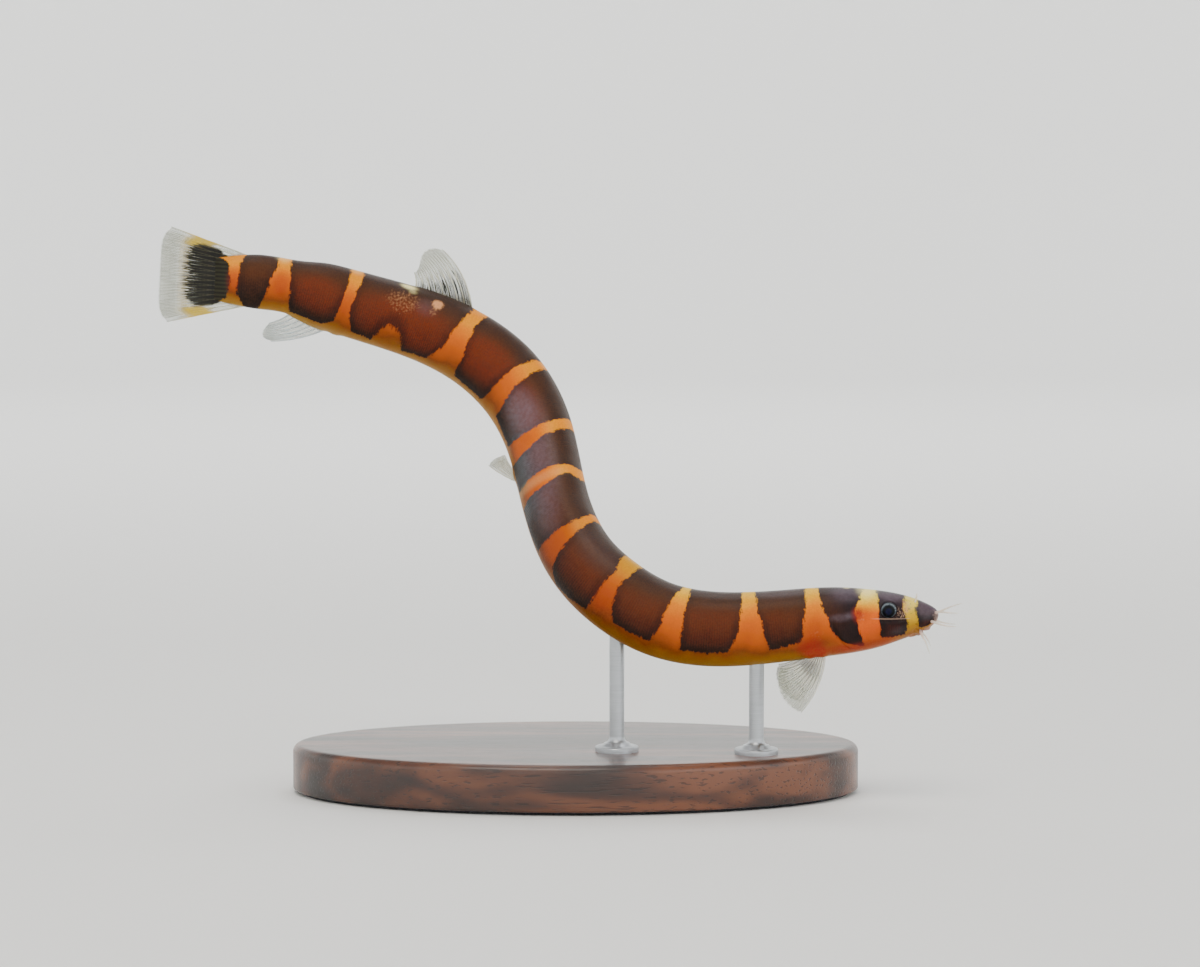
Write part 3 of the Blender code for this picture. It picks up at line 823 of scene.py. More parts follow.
# The fine pale line below each eye, as distances in mm and rises in degrees.
EYE_LINE = ((7.0, 4), (5.9, 2.6), (4.8, 1.3), (3.8, 0), (2.7, -1))
RELIEFS = (
    Relief(mouth_arch(2.15, 1.3, 1.1, 50), 0.34, 0.15, middle=True),
    Relief(mouth_arch(2.3, 2.1, 1.9, 42), 0.32, 0.18, middle=True),
    Relief(mouth_arch(2.3, 1.68, 1.48, 56), 0.15, -0.34, middle=True),
    Relief(((1.95, -66), (2.45, -74), (3.1, -79)), 0.42, 0.16),
    Relief(((2.2, -34), (2.5, -42), (2.55, -52)), 0.2, -0.08),
    Relief(((2.55, 56), (2.75, 58)), 0.26, 0.12, soft_ends=False),
    Relief(((3.0, 57), (3.1, 58)), 0.17, -0.22, soft_ends=False),
    Relief(EYE_LINE, 0.12, 0.03),
    Relief(tuple((distance, rise - 4) for distance, rise in EYE_LINE), 0.2, -0.06),
    Relief(((10.0, 36), (10.5, 10), (10.45, -12), (9.7, -38), (8.5, -66)), 0.26, -0.16),
    Relief(((9.6, 36), (10.05, 10), (10.0, -12), (9.25, -38), (8.1, -66)), 0.55, 0.1),
    Relief(((7.2, 22), (7.5, 0), (7.4, -24), (6.8, -48)), 0.3, -0.05),
    Relief(((8.5, 12), (9.2, 7), (10.0, 4)), 0.3, 0.05),
    Relief(((1.2, 16), (2.4, 20), (3.4, 24)), 0.4, -0.05),
    Relief(((0.5, -20), (1.0, -44), (1.6, -60)), 0.3, 0.06),
    Relief(((11.9, -60), (12.6, -54), (13.2, -58)), 0.95, 0.3, soft_ends=False))
# No relief of the face reaches past this distance in mm.
FACE_RELIEF_END = 15.0
# Ridges below the dorsal and anal fins: start, run in, end, run out, rise and half width.
FIN_RIDGES = ((67.6, 1.0, 74.6, 1.2, 90, 8.0), (81.2, 0.8, 86.4, 1.0, -90, 9.0))


@dataclass(frozen=True)
class SkinFinish:
    """Moist skin: orange bands between dark saddles, paler below, with fine grain.

    The ramps go by rise, from the belly to the back. The zones are distances in mm between which
    one look goes over into the next. teeth has the noise scale and the depth in mm of each layer
    of the saddles' toothed outline, and fringe the same for noise drawn out along the outline.
    """

    roughness: float = 0.42
    gloss: float = 0.1
    coat: float = 0.07
    coat_roughness: float = 0.26
    bleed: float = 0.06
    bleed_depth: float = 0.7 * MM
    bleed_colour: tuple = (1.0, 0.4, 0.2)
    # The stops on the lower flank, round a rise of -34, are darkened by painted shade; the belly
    # below is paler again.
    bands: Stops = ((-90, "9c8030"), (-60, "8c641a"), (-34, "6e3604"), (-12, "ac4c03"),
                    (12, "cc6002"), (34, "df7c02"), (58, "ecaa04"), (90, "efc416"))
    face_bands: Stops = ((-90, "9c5420"), (-45, "96450a"), (-12, "c85006"), (10, "dc6008"),
                         (28, "eca012"), (52, "f2d248"), (90, "f4e470"))
    # The stops under the snout, at rises of -90 and -50, are brownish orange darkened by painted
    # shade.
    snout_bands: Stops = ((-90, "8e6136"), (-50, "8a5e20"), (-25, "9e740e"), (10, "d0aa16"),
                          (50, "e2c83c"), (90, "dcca60"))
    # Both saddle ramps go lighter and greyer towards the back: partly their own colour, partly a
    # painted sheen of light along the back.
    saddles: Stops = ((-90, "0c0502"), (-34, "130702"), (-12, "281006"), (12, "46220c"),
                      (36, "432614"), (62, "372822"), (90, "443c38"))
    face_saddles: Stops = ((-90, "180a08"), (-40, "1a0b0b"), (-8, "180c0e"), (20, "1c1216"),
                           (50, "2c242e"), (74, "3a343e"), (90, "444044"))
    # Painted shade: the bands are multiplied darker where the body bends.
    painted_bend_shade: str = "d4c6a2"
    rear_back: str = "dc7e06"
    pale_grain: str = "fff0c8"
    band_flakes: str = "a04a10"
    saddle_flakes: str = "6b4020"
    rust: str = "782604"
    hem: str = "100705"
    cross_lines: str = "140a08"
    # Colours of the mottling and painted sheen on the saddles: bluish grey low down, mauve higher
    # up.
    mauve: tuple = ("5e6a70", "76656f")
    stripe: str = "7f8a8e"
    tail_root: tuple = ("13120c", "2f2d1f")
    flesh: tuple = ("a38880", "dd9a66")
    freckle: str = "4a2c22"
    crooked_lines: str = "c79c80"
    # Colour of the pale spots and of the painted highlight.
    cream: str = "fff0a6"
    blush: str = "8e1f0d"
    eye_line: str = "cfae98"
    snout_zone: tuple = (3.4, 5.5)
    face_zone: tuple = (8.5, 12.5)
    # Distances in mm over which the painted shade on the bend fades in and out.
    painted_bend_zone: tuple = (25.0, 34.0, 41.0, 47.0)
    rear_zone: tuple = (33.0, 39.0)
    tail_zone: tuple = (92.0, 92.4)
    flesh_zone: tuple = (2.4, 3.6)
    eye_line_zone: tuple = (2.6, 3.2, 5.8, 7.0)
    teeth: tuple = ((2300.0, 0.42), (6500.0, 0.28))
    fringe: tuple = (4.6, 0.05, 0.5)
    grain_scale: float = 7500.0
    flake_scale: float = 5200.0
    drift_scale: float = 420.0
    drift: float = 34.0

    def build(self) -> bpy.types.Material:
        """Return the skin's material."""
        return SkinGraph(self).build()


class SkinGraph(Graph):
    """The skin's material, put together from the values of its finish."""

    def __init__(self, look: SkinFinish) -> None:
        """Read what the colours go by, and make the noises that several of them share.

        Args:
            look: The finish.
        """
        super().__init__("loach_skin")
        self.look, self.here = look, self.place()
        self.along, self.rise = self.attribute("along"), self.attribute("rise")
        self.grain = self.noise(self.here, look.grain_scale, 1.0)
        self.flakes = self.cells(self.here, look.flake_scale)
        self.drift = self.swing(self.here, look.drift_scale, 3.0)
        self.lines = self.calc("SINE", self.add(self.times(self.along, 27.0), self.drift, 7.0))

    def border(self) -> Socket:
        """Give the saddles their toothed outline.

        Returns:
            The depth inside a saddle in mm.
        """
        along_scale, rise_scale, reach = self.look.fringe
        streaks = self.pair(self.times(self.along, along_scale), self.times(self.rise, rise_scale))
        depth = self.add(self.attribute("saddle"), self.swing(streaks, 1.0), reach)
        for scale, reach in self.look.teeth:
            depth = self.add(depth, self.swing(self.here, scale), reach)
        return depth

    def ground(self) -> tuple[Socket, Socket]:
        """Lay the ramps of face, trunk and rear into each other.

        Returns:
            The colour of the bands and the colour of the saddles.
        """
        look, along = self.look, self.along
        rise = self.add(self.rise, self.drift, look.drift)
        behind_face = self.span(along, *look.face_zone)
        face = self.mix(self.span(along, *look.snout_zone), self.ramp(rise, look.snout_bands),
                        self.ramp(rise, look.face_bands))
        light = self.mix(behind_face, face, self.ramp(rise, look.bands))
        # Painted shade over the bend of the body.
        light = self.mix(self.window(along, *look.painted_bend_zone), light, look.painted_bend_shade, "MULTIPLY")
        rear_back = self.times(self.span(along, *look.rear_zone),
                               self.span(rise, 26.0, 70.0, 0.0, 0.85))
        light = self.mix(rear_back, light, look.rear_back)
        # The saddles' ramps carry a painted sheen towards the back.
        dark = self.mix(behind_face, self.ramp(rise, look.face_saddles),
                        self.ramp(rise, look.saddles))
        return light, dark

    def thinned(self, tint: Tint, noise: Socket, low: float, high: float,
                least: float) -> Socket:
        """Return the share of a tint, which falls to least where a noise is low."""
        return self.times(self.attribute(tint.value), self.span(noise, low, high, least, 1.0))

    def shaded(self, dark: Socket, depth: Socket) -> Socket:
        """Give the saddles rust, flakes, a dark hem and fine dark lines.

        Args:
            dark: Their colour.
            depth: The depth inside a saddle in mm.

        Returns:
            The new colour.
        """
        look = self.look
        rust = self.thinned(Tint.RUST, self.grain, 0.4, 0.62, 0.55)
        dark = self.mix(self.times(rust, 0.7), dark, look.rust)
        flakes = self.times(self.span(self.flakes, 0.2, 0.75, 0.0, 0.13),
                            self.span(self.along, 8.0, 16.0, 0.3, 1.0))
        dark = self.mix(flakes, dark, look.saddle_flakes)
        hem = self.times(self.span(depth, 0.1, 1.0, 0.6, 0.0),
                         self.span(self.rise, -20.0, 50.0, 1.0, 0.2))
        dark = self.mix(hem, dark, look.hem)
        low = self.times(self.span(self.lines, -0.2, 1.0),
                         self.span(self.rise, -35.0, 35.0, 0.42, 0.05))
        return self.mix(low, dark, look.cross_lines)

    def sheen(self, dark: Socket) -> Socket:
        """Paint a mauve sheen and mottling on the saddles; add pale stripes and the rays at the
        tail's root.

        Args:
            dark: Their colour.

        Returns:
            The new colour.
        """
        look = self.look
        # Painted sheen and highlights, with some mottling, laid over the saddles.
        silver = self.thinned(Tint.SILVER, self.noise(self.here, 2600.0), 0.3, 0.7, 0.7)
        mauve = self.mix(self.span(self.rise, -30.0, 12.0), *look.mauve)
        dark = self.mix(self.times(silver, 0.55), dark, mauve)
        dark = self.mix(self.thinned(Tint.STRIPE, self.lines, -0.2, 0.7, 0.0), dark, look.stripe)
        root = self.mix(self.attribute("ray"), *look.tail_root)
        return self.mix(self.span(self.along, *look.tail_zone), dark, root)

    def freckled(self, light: Socket, dark: Socket) -> tuple[Socket, Socket]:
        """Add dark freckles and pale crooked lines before the eyes.

        Args:
            light: The colour of the bands.
            dark: The colour of the saddles.

        Returns:
            Both colours with them.
        """
        near = self.thinned(Tint.FRECKLE, self.along, 5.2, 4.6, 0.0)
        slow = self.noise(self.here, 2600.0, 1.0)
        dots = self.times(self.span(self.flakes, 0.42, 0.26),
                          self.span(slow, 0.44, 0.54, 0.15, 0.9))
        light = self.mix(self.times(dots, near), light, self.look.freckle)
        wave = self.calc("SINE", self.add(self.times(self.along, 34.0), slow, 16.0))
        breaks = self.span(self.noise(self.here, 4300.0, 1.0), 0.4, 0.54)
        lines = self.times(self.span(wave, 0.1, 0.9, 0.0, 0.75), breaks)
        return light, self.mix(self.times(lines, near), dark, self.look.crooked_lines)

    def tinted(self, colour: Socket) -> Socket:
        """Add the patches that lie over bands and saddles alike.

        Args:
            colour: The colour below them.

        Returns:
            The new colour.
        """
        look, peach = self.look, self.attribute(Tint.PEACH.value)
        broken = self.add(peach, self.noise(self.here, 4600.0), 0.95)
        peach = self.times(self.span(broken, 0.62, 1.45, 0.0, 0.85), self.span(peach, 0.0, 0.2))
        flesh = self.mix(self.span(self.along, *look.flesh_zone), *look.flesh)
        colour = self.mix(peach, colour, flesh)
        # Pale spots and a painted highlight.
        colour = self.mix(self.thinned(Tint.CREAM, self.grain, 0.3, 0.6, 0.7), colour, look.cream)
        blush = self.thinned(Tint.BLUSH, self.grain, 0.35, 0.65, 0.72)
        return self.mix(self.thread(), self.mix(blush, colour, look.blush), look.eye_line)

    def thread(self) -> Socket:
        """Draw the fine pale line below each eye, which follows EYE_LINE.

        Returns:
            Its share.
        """
        height = self.add(self.rise, self.along, -1.19)
        off = self.calc("ABSOLUTE", self.calc("ADD", height, 4.4))
        return self.times(self.span(off, 1.3, 0.3, 0.0, 0.4),
                          self.window(self.along, *self.look.eye_line_zone))

    def build(self) -> bpy.types.Material:
        """Join colours, gloss and fine relief to the surface.

        Returns:
            The material.
        """
        look, depth = self.look, self.border()
        light, dark = self.ground()
        light = self.mix(self.span(self.grain, 0.42, 0.68, 0.0, 0.22), light, look.pale_grain,
                         "MULTIPLY")
        light = self.mix(self.span(self.flakes, 0.25, 0.7, 0.0, 0.16), light, look.band_flakes)
        light, dark = self.freckled(light, self.sheen(self.shaded(dark, depth)))
        colour = self.tinted(self.mix(self.span(depth, -0.1, 0.12), light, dark))
        fine = self.bump(self.flakes, 0.012 * MM)
        fine = self.bump(self.times(self.lines, 0.5), 0.003 * MM, Normal=fine)
        roughness = self.span(self.grain, 0.3, 0.7, look.roughness - 0.05, look.roughness + 0.09)
        self.surface(base_color=colour, normal=fine, gloss=look.gloss, roughness=roughness,
                     subsurface_weight=look.bleed, subsurface_scale=look.bleed_depth,
                     subsurface_radius=look.bleed_colour, coat_weight=look.coat,
                     coat_roughness=look.coat_roughness)
        return self.material


@dataclass(frozen=True)
class Skin:
    """The one continuous skin from the snout to the root of the tail fin.

    snout_fade is where the relief reaches its full height behind the snout's tip. pit, rim,
    ray_ridge, fin_ridge, vent, vent_pit and hips are the depths and heights of what stands in or
    on the smooth body at the eyes and at the roots of the fins.
    """

    body: LoachBody
    sides: int = 160
    face_rings: int = 150
    trunk_rings: int = 360
    wedge_rings: int = 30
    face_end: float = 13.0 * MM
    eye_distance: float = 4.9 * MM
    eye_height: float = 0.9 * MM
    eye_radius: float = 0.86 * MM
    snout_fade: float = 0.3 * MM
    pit: float = 0.55 * MM
    rim: float = 0.075 * MM
    ray_ridge: float = 0.025 * MM
    fin_ridge: float = 0.14 * MM
    vent: float = 0.22 * MM
    vent_pit: float = 0.16 * MM
    hips: float = 0.12 * MM

    def ring_distances(self) -> np.ndarray:
        """Set out the rings, closest together at the snout and at the end.

        Returns:
            The distance of each ring.
        """
        face = self.face_end * np.linspace(0.0, 1.0, self.face_rings + 1) ** 1.6
        trunk = np.linspace(self.face_end, self.body.end, self.trunk_rings + 1)[1:]
        share = 1 - (1 - np.linspace(0.0, 1.0, self.wedge_rings + 1)[1:]) ** 1.6
        tail = self.body.end + self.body.wedge * share
        return np.concatenate((face, trunk, tail))

    def socket(self, points: np.ndarray) -> np.ndarray:
        """Return how far points move outwards at the eyes, in the socket and on its rim.

        Args:
            points: Points of the smooth skin.

        Returns:
            The distance for each point.
        """
        centre, _, left, up = self.body.frames(self.eye_distance)
        from_eye = points - (centre + self.eye_height * up)
        aside = from_eye @ left[0]
        off = np.linalg.norm(from_eye - aside[:, None] * left, axis=1) / self.eye_radius
        off = np.where(np.abs(aside) > 0.6 * MM, off, 9.0)
        rim = self.rim * np.exp(-((off - 1.08) / 0.11) ** 2)
        return rim - self.pit * np.clip((0.97 - off) / 0.22, 0.0, 1.0) ** 2

    def ray_roots(self, points: np.ndarray, along: np.ndarray) -> np.ndarray:
        """Return how near points lie to the roots of the tail fin's rays, from 0 to 1.

        Args:
            points: Points of the smooth skin.
            along: Their distances in mm.

        Returns:
            The nearness of each point, which is 0 before the root of the fin.
        """
        centre, _, _, up = self.body.frames(self.body.end)
        above, below, _ = (size[0] for size in self.body.sizes(np.array([self.body.end])))
        height = ((points - centre) @ up[0] + below) / (TailFin.root_share * (above + below))
        first = TailFin.crest_share
        turn = (first + (1 - 2 * first) * height) * (TAIL_RAYS - 1)
        near = 0.5 + 0.5 * np.cos(2 * np.pi * turn)
        return near * np.clip((along - 92.3) / 0.6, 0.0, 1.0)

    def relief(self, points: np.ndarray, along: np.ndarray, rise: np.ndarray) -> np.ndarray:
        """Return how far points move outwards for the face, the fins' roots and the vent.

        Args:
            points: Points of the smooth skin.
            along: Their distances in mm.
            rise: Their rises in degrees.

        Returns:
            The distance for each point.
        """
        offsets = np.zeros(len(points))
        face = along < FACE_RELIEF_END
        for relief in RELIEFS:
            offsets[face] += relief.offsets(self.body, points[face])
        offsets[face] += self.socket(points[face])
        for start, run_in, end, run_out, middle, half_rise in FIN_RIDGES:
            ends = np.clip((along - start) / run_in, 0, 1) * np.clip((end - along) / run_out, 0, 1)
            offsets += self.fin_ridge * ends * np.exp(-((rise - middle) / half_rise) ** 2)
        vent = ((along - 80.7) / 0.5) ** 2 + ((90 + rise) / 12.0) ** 2
        offsets += self.vent * np.exp(-vent) - self.vent_pit * np.exp(-6.0 * vent)
        hips = ((along - 50.6) / 0.9) ** 2 + ((rise + 68) / 10.0) ** 2
        offsets += self.hips * np.exp(-hips)
        return offsets + self.ray_ridge * self.ray_roots(points, along)

    def marks(self, shape: bmesh.types.BMesh, vertices: Sequence, along: np.ndarray,
              rise: np.ndarray) -> None:
        """Keep the saddles and patches on the vertices for the material.

        Args:
            shape: The skin's mesh.
            vertices: Its vertices.
            along: Their distances in mm.
            rise: Their rises in degrees.
        """
        saddle = np.max([one.inside(along, rise) for one in SADDLES], axis=0)
        for distance, middle, half_length, half_rise in WINDOWS:
            off = np.hypot((along - distance) / half_length, (rise - middle) / half_rise)
            saddle = np.minimum(saddle, (off - 1.0) * half_length)
        note(shape, vertices, "along", along)
        note(shape, vertices, "rise", rise)
        note(shape, vertices, "saddle", np.clip(saddle, -3.0, 3.0))
        for tint, patches in PATCHES.items():
            shares = sum(patch.share(along, rise) for patch in patches)
            note(shape, vertices, tint.value, np.clip(shares, 0.0, 1.0))

    def build(self, finish: SkinFinish) -> bpy.types.Object:
        """Build the skin.

        Args:
            finish: Its finish.

        Returns:
            The skin.
        """
        distances = self.ring_distances()
        last = len(distances) - 1
        shape = new_shape("along", "rise", "saddle", "ray", *(tint.value for tint in Tint))
        vertices, across, share = new_sheet(shape, self.sides, last)
        ring, around = distances[np.round(share * last).astype(int)], 360.0 * across - 90.0
        smooth, along, rise = self.body.surface(ring, around), ring / MM, rise_of(around)
        lift = self.relief(smooth, along, rise) * np.clip(ring / self.snout_fade, 0.0, 1.0)
        set_out(vertices, smooth + lift[:, None] * self.body.outward(ring, around))
        self.marks(shape, vertices, along, rise)
        note(shape, vertices, "ray", self.ray_roots(smooth, along))
        nodes = ("head", "trunk_front", "trunk_middle", "trunk_rear", "tail_stalk")
        return as_piece("loach_skin", shape, [finish.build()], Slot.SKIN, nodes)


@dataclass(frozen=True)
class EyeFinish:
    """Wet eye: blue-black pupil, dark iris and a grey ring, by distance from its middle."""

    roughness: float = 0.4
    gloss: float = 0.06
    coat_roughness: float = 0.03
    coat: float = 0.14
    rings: Stops = ((0.0, "020318"), (0.26, "04082e"), (0.46, "020410"), (0.56, "010203"),
                    (0.66, "030405"), (0.73, "1c2126"), (0.8, "4c555c"), (0.88, "747c82"),
                    (0.94, "4e555a"), (1.0, "15181a"))
    fleck: str = "1b2025"

    def build(self) -> bpy.types.Material:
        """Join rings, flecks and gloss.

        Returns:
            The eyeball's material.
        """
        graph = Graph("loach_eye")
        off, turn = graph.attribute("off_middle"), graph.attribute("turn")
        rays = graph.noise(graph.pair(graph.times(turn, 5.0), graph.times(off, 2.0)), 1.0)
        uneven = graph.add(off, graph.swing(graph.place(), 2100.0, 2.0), 0.1)
        iris = graph.times(graph.span(off, 0.62, 0.74), graph.span(rays, 0.5, 0.34))
        iris = graph.times(iris, graph.span(turn, 0.8, 2.4, 0.9, 0.4))
        colour = graph.mix(iris, graph.ramp(uneven, self.rings), self.fleck)
        graph.surface(base_color=colour, roughness=self.roughness, gloss=self.gloss,
                      coat_weight=self.coat, coat_roughness=self.coat_roughness)
        return graph.material


@dataclass(frozen=True)
class Eyes:
    """The two eyes, each a flat ball that stands out more at its clear middle."""

    body: LoachBody
    distance: float = 4.9 * MM
    height: float = 0.9 * MM
    sideways: float = 1.78 * MM
    radius: float = 0.82 * MM
    depth: float = 0.5 * MM
    tilt: float = 9.0
    bulge: float = 0.06 * MM
    bulge_share: float = 0.66
    turns: int = 72
    levels: int = 48

    def ball(self, side: Side) -> bmesh.types.BMesh:
        """Return an eye's mesh, with the distance from its middle kept on the vertices.

        Args:
            side: The side of the head.

        Returns:
            The mesh.
        """
        shape = new_shape("off_middle", "turn")
        vertices = bmesh.ops.create_uvsphere(shape, u_segments=self.turns, radius=1.0,
                                             v_segments=self.levels, calc_uvs=True)["verts"]
        flat = np.array([vertex.co[:] for vertex in vertices])
        note(shape, vertices, "off_middle", np.hypot(flat[:, 0], flat[:, 1]))
        note(shape, vertices, "turn", np.abs(np.arctan2(flat[:, 1], flat[:, 0])))
        centre, forward, left, up = (Vector(row[0]) for row in self.body.frames(self.distance))
        out = side.value * left
        lean = Matrix.Rotation(math.radians(-side.value * self.tilt), 3, forward)
        middle = centre + self.height * up + self.sideways * out
        for vertex, (x, y, z) in zip(vertices, flat.tolist()):
            swell = self.bulge * max(1 - (math.hypot(x, y) / self.bulge_share) ** 2, 0.0) ** 2
            offset = self.radius * (x * forward + y * up) + (self.depth * z + swell) * out
            vertex.co = middle + lean @ offset
        return shape

    def build(self, finish: EyeFinish) -> list:
        """Build both eyes.

        Args:
            finish: Their finish.

        Returns:
            The two pieces.
        """
        wet = finish.build()
        return [as_piece(f"eyeball_{side.name.lower()}", self.ball(side), [wet], Slot.EYE,
                         [f"eye_{side.name.lower()}"]) for side in Side]


@dataclass(frozen=True)
class BarbelFinish:
    """Pale moist barbels, pinkish at the root."""

    roughness: float = 0.38
    coat: float = 0.3
    bleed: float = 0.3
    bleed_depth: float = 0.4 * MM
    bleed_colour: tuple = (1.0, 0.5, 0.35)
    shades: Stops = ((0.0, "7c5f58"), (0.07, "a5857a"), (0.17, "ccaf9f"), (0.34, "dfcfbf"),
                     (1.0, "ebe4d6"))
    speck: str = "b59a8a"
    grain_scale: float = 6000.0

    def build(self) -> bpy.types.Material:
        """Join shades, specks and gloss.

        Returns:
            The barbels' material.
        """
        graph = Graph("loach_barbel")
        grain = graph.noise(graph.place(), self.grain_scale)
        colour = graph.mix(graph.span(grain, 0.4, 0.7, 0.0, 0.22),
                           graph.ramp(graph.attribute("out"), self.shades), self.speck)
        graph.surface(base_color=colour, roughness=self.roughness, coat_weight=self.coat,
                      subsurface_weight=self.bleed, subsurface_scale=self.bleed_depth,
                      subsurface_radius=self.bleed_colour, normal=graph.bump(grain, 0.01 * MM))
        return graph.material


@dataclass(frozen=True)
class Barbel:
    """One barbel: its root in mm and degrees, its tip's way in mm and its sag in mm."""

    name: str
    side: Side
    distance: float
    rise: float
    ahead: float
    outwards: float
    upwards: float
    sag: float = 0.0
    root_radius: float = 0.155
    tip_radius: float = 0.05


@dataclass(frozen=True)
class Barbels:
    """The four pairs of barbels round the mouth and nostrils."""

    body: LoachBody
    barbels: tuple = (
        Barbel("rostral_inner_left", Side.LEFT, 0.25, 8.0, 2.0, 0.9, -0.4, 0.04),
        Barbel("rostral_inner_right", Side.RIGHT, 0.25, 22.0, 2.5, 0.7, 0.75, -0.05),
        Barbel("rostral_outer_left", Side.LEFT, 0.75, -32.0, 2.2, 1.3, -0.7, 0.05),
        Barbel("rostral_outer_right", Side.RIGHT, 0.75, -32.0, 2.3, 1.2, -0.4, 0.06),
        Barbel("maxillary_left", Side.LEFT, 1.9, -58.0, 0.75, 1.1, -1.7, -0.1),
        Barbel("maxillary_right", Side.RIGHT, 1.9, -58.0, 0.65, 0.8, -2.0, -0.15),
        Barbel("nasal_left", Side.LEFT, 2.2, 58.0, 0.1, 0.25, 0.42, 0.0, 0.11, 0.05),
        Barbel("nasal_right", Side.RIGHT, 2.2, 58.0, 0.15, 0.2, 0.42, 0.0, 0.11, 0.05))
    sink: float = 0.14 * MM
    stem: float = 0.24
    sides: int = 24
    rings: int = 36

    def one(self, barbel: Barbel) -> bmesh.types.BMesh:
        """Return the mesh of one barbel.

        Args:
            barbel: The barbel.

        Returns:
            Its mesh.
        """
        distance = barbel.distance * MM
        around = round_to(barbel.side, barbel.rise)
        _, forward, left, up = (rows[0] for rows in self.body.frames(distance))
        root = self.body.lifted(distance, around, -self.sink)[0]
        way = barbel.ahead * forward + barbel.side.value * barbel.outwards * left
        tip = self.body.lifted(distance, around, CAD_GAP)[0] + MM * (way + barbel.upwards * up)
        skin = self.body.outward(distance, around)[0]
        stem = root + self.stem * np.linalg.norm(tip - root) * skin
        t = np.linspace(0.0, 1.0, self.rings)[:, None]
        path = (1 - t) ** 2 * root + 2 * t * (1 - t) * stem + t * t * tip
        path = path + MM * barbel.sag * np.sin(2 * np.pi * t) * up
        share = t[:, 0]
        radii = barbel.tip_radius + (barbel.root_radius - barbel.tip_radius) * (1 - share) ** 1.3
        radii = radii * (1 + 0.12 * np.exp(-share / 0.06)) * np.sqrt(1 - 0.96 * share ** 16)
        radii = radii * (1 + 0.035 * np.sin(70.0 * share) * (1 - share))
        shape = new_shape("out")
        vertices, out = new_tube(shape, path, MM * radii, self.sides)
        note(shape, vertices, "out", out)
        return shape

    def build(self, finish: BarbelFinish) -> list:
        """Build all barbels.

        Args:
            finish: Their finish.

        Returns:
            The pieces.
        """
        pale = finish.build()
        return [as_piece(f"whisker_{barbel.name}", self.one(barbel), [pale], Slot.BARBEL,
                         [f"barbel_{barbel.name}"]) for barbel in self.barbels]


@dataclass(frozen=True)
class FinFinish:
    """Clear fin membrane and its rays, with dark streaks and a spot where the fin has them.

    streaks is how dark the streaks near the root are, spot how dark the tail's spot is, yellow
    how strong the yellow at the spot's corners is and blotch how grey the middle is. clear is
    how much the bare membrane covers. hairs, lines and veil have the numbers of strands across
    the fin and of breaks on the way out in its noises.
    """

    name: str
    clear: float = 0.27
    membrane: str = "949b82"
    ray: str = "cdcab8"
    streaks: float = 0.0
    spot: float = 0.0
    yellow: float = 0.0
    blotch: float = 0.0
    root: str = "c9b29a"
    speck: str = "7f8a78"
    blotch_colour: str = "5d5a58"
    yellow_colour: str = "c8a806"
    dark_ray: str = "3a3826"
    dark_membrane: str = "0b0b06"
    roughness: float = 0.36
    gloss: float = 0.2
    coat: float = 0.08
    coat_roughness: float = 0.12
    bleed: float = 0.12
    bleed_depth: float = 0.3 * MM
    bleed_colour: tuple = (1.0, 0.8, 0.6)
    grain_scale: float = 5200.0
    hairs: tuple = (84.0, 1.3)
    lines: tuple = (62.0, 3.5)
    veil: tuple = (150.0, 3.5)

    def build(self, is_ray: bool) -> bpy.types.Material:
        """Return the material of the rays or of the membrane between them."""
        return FinGraph(self, is_ray).build()


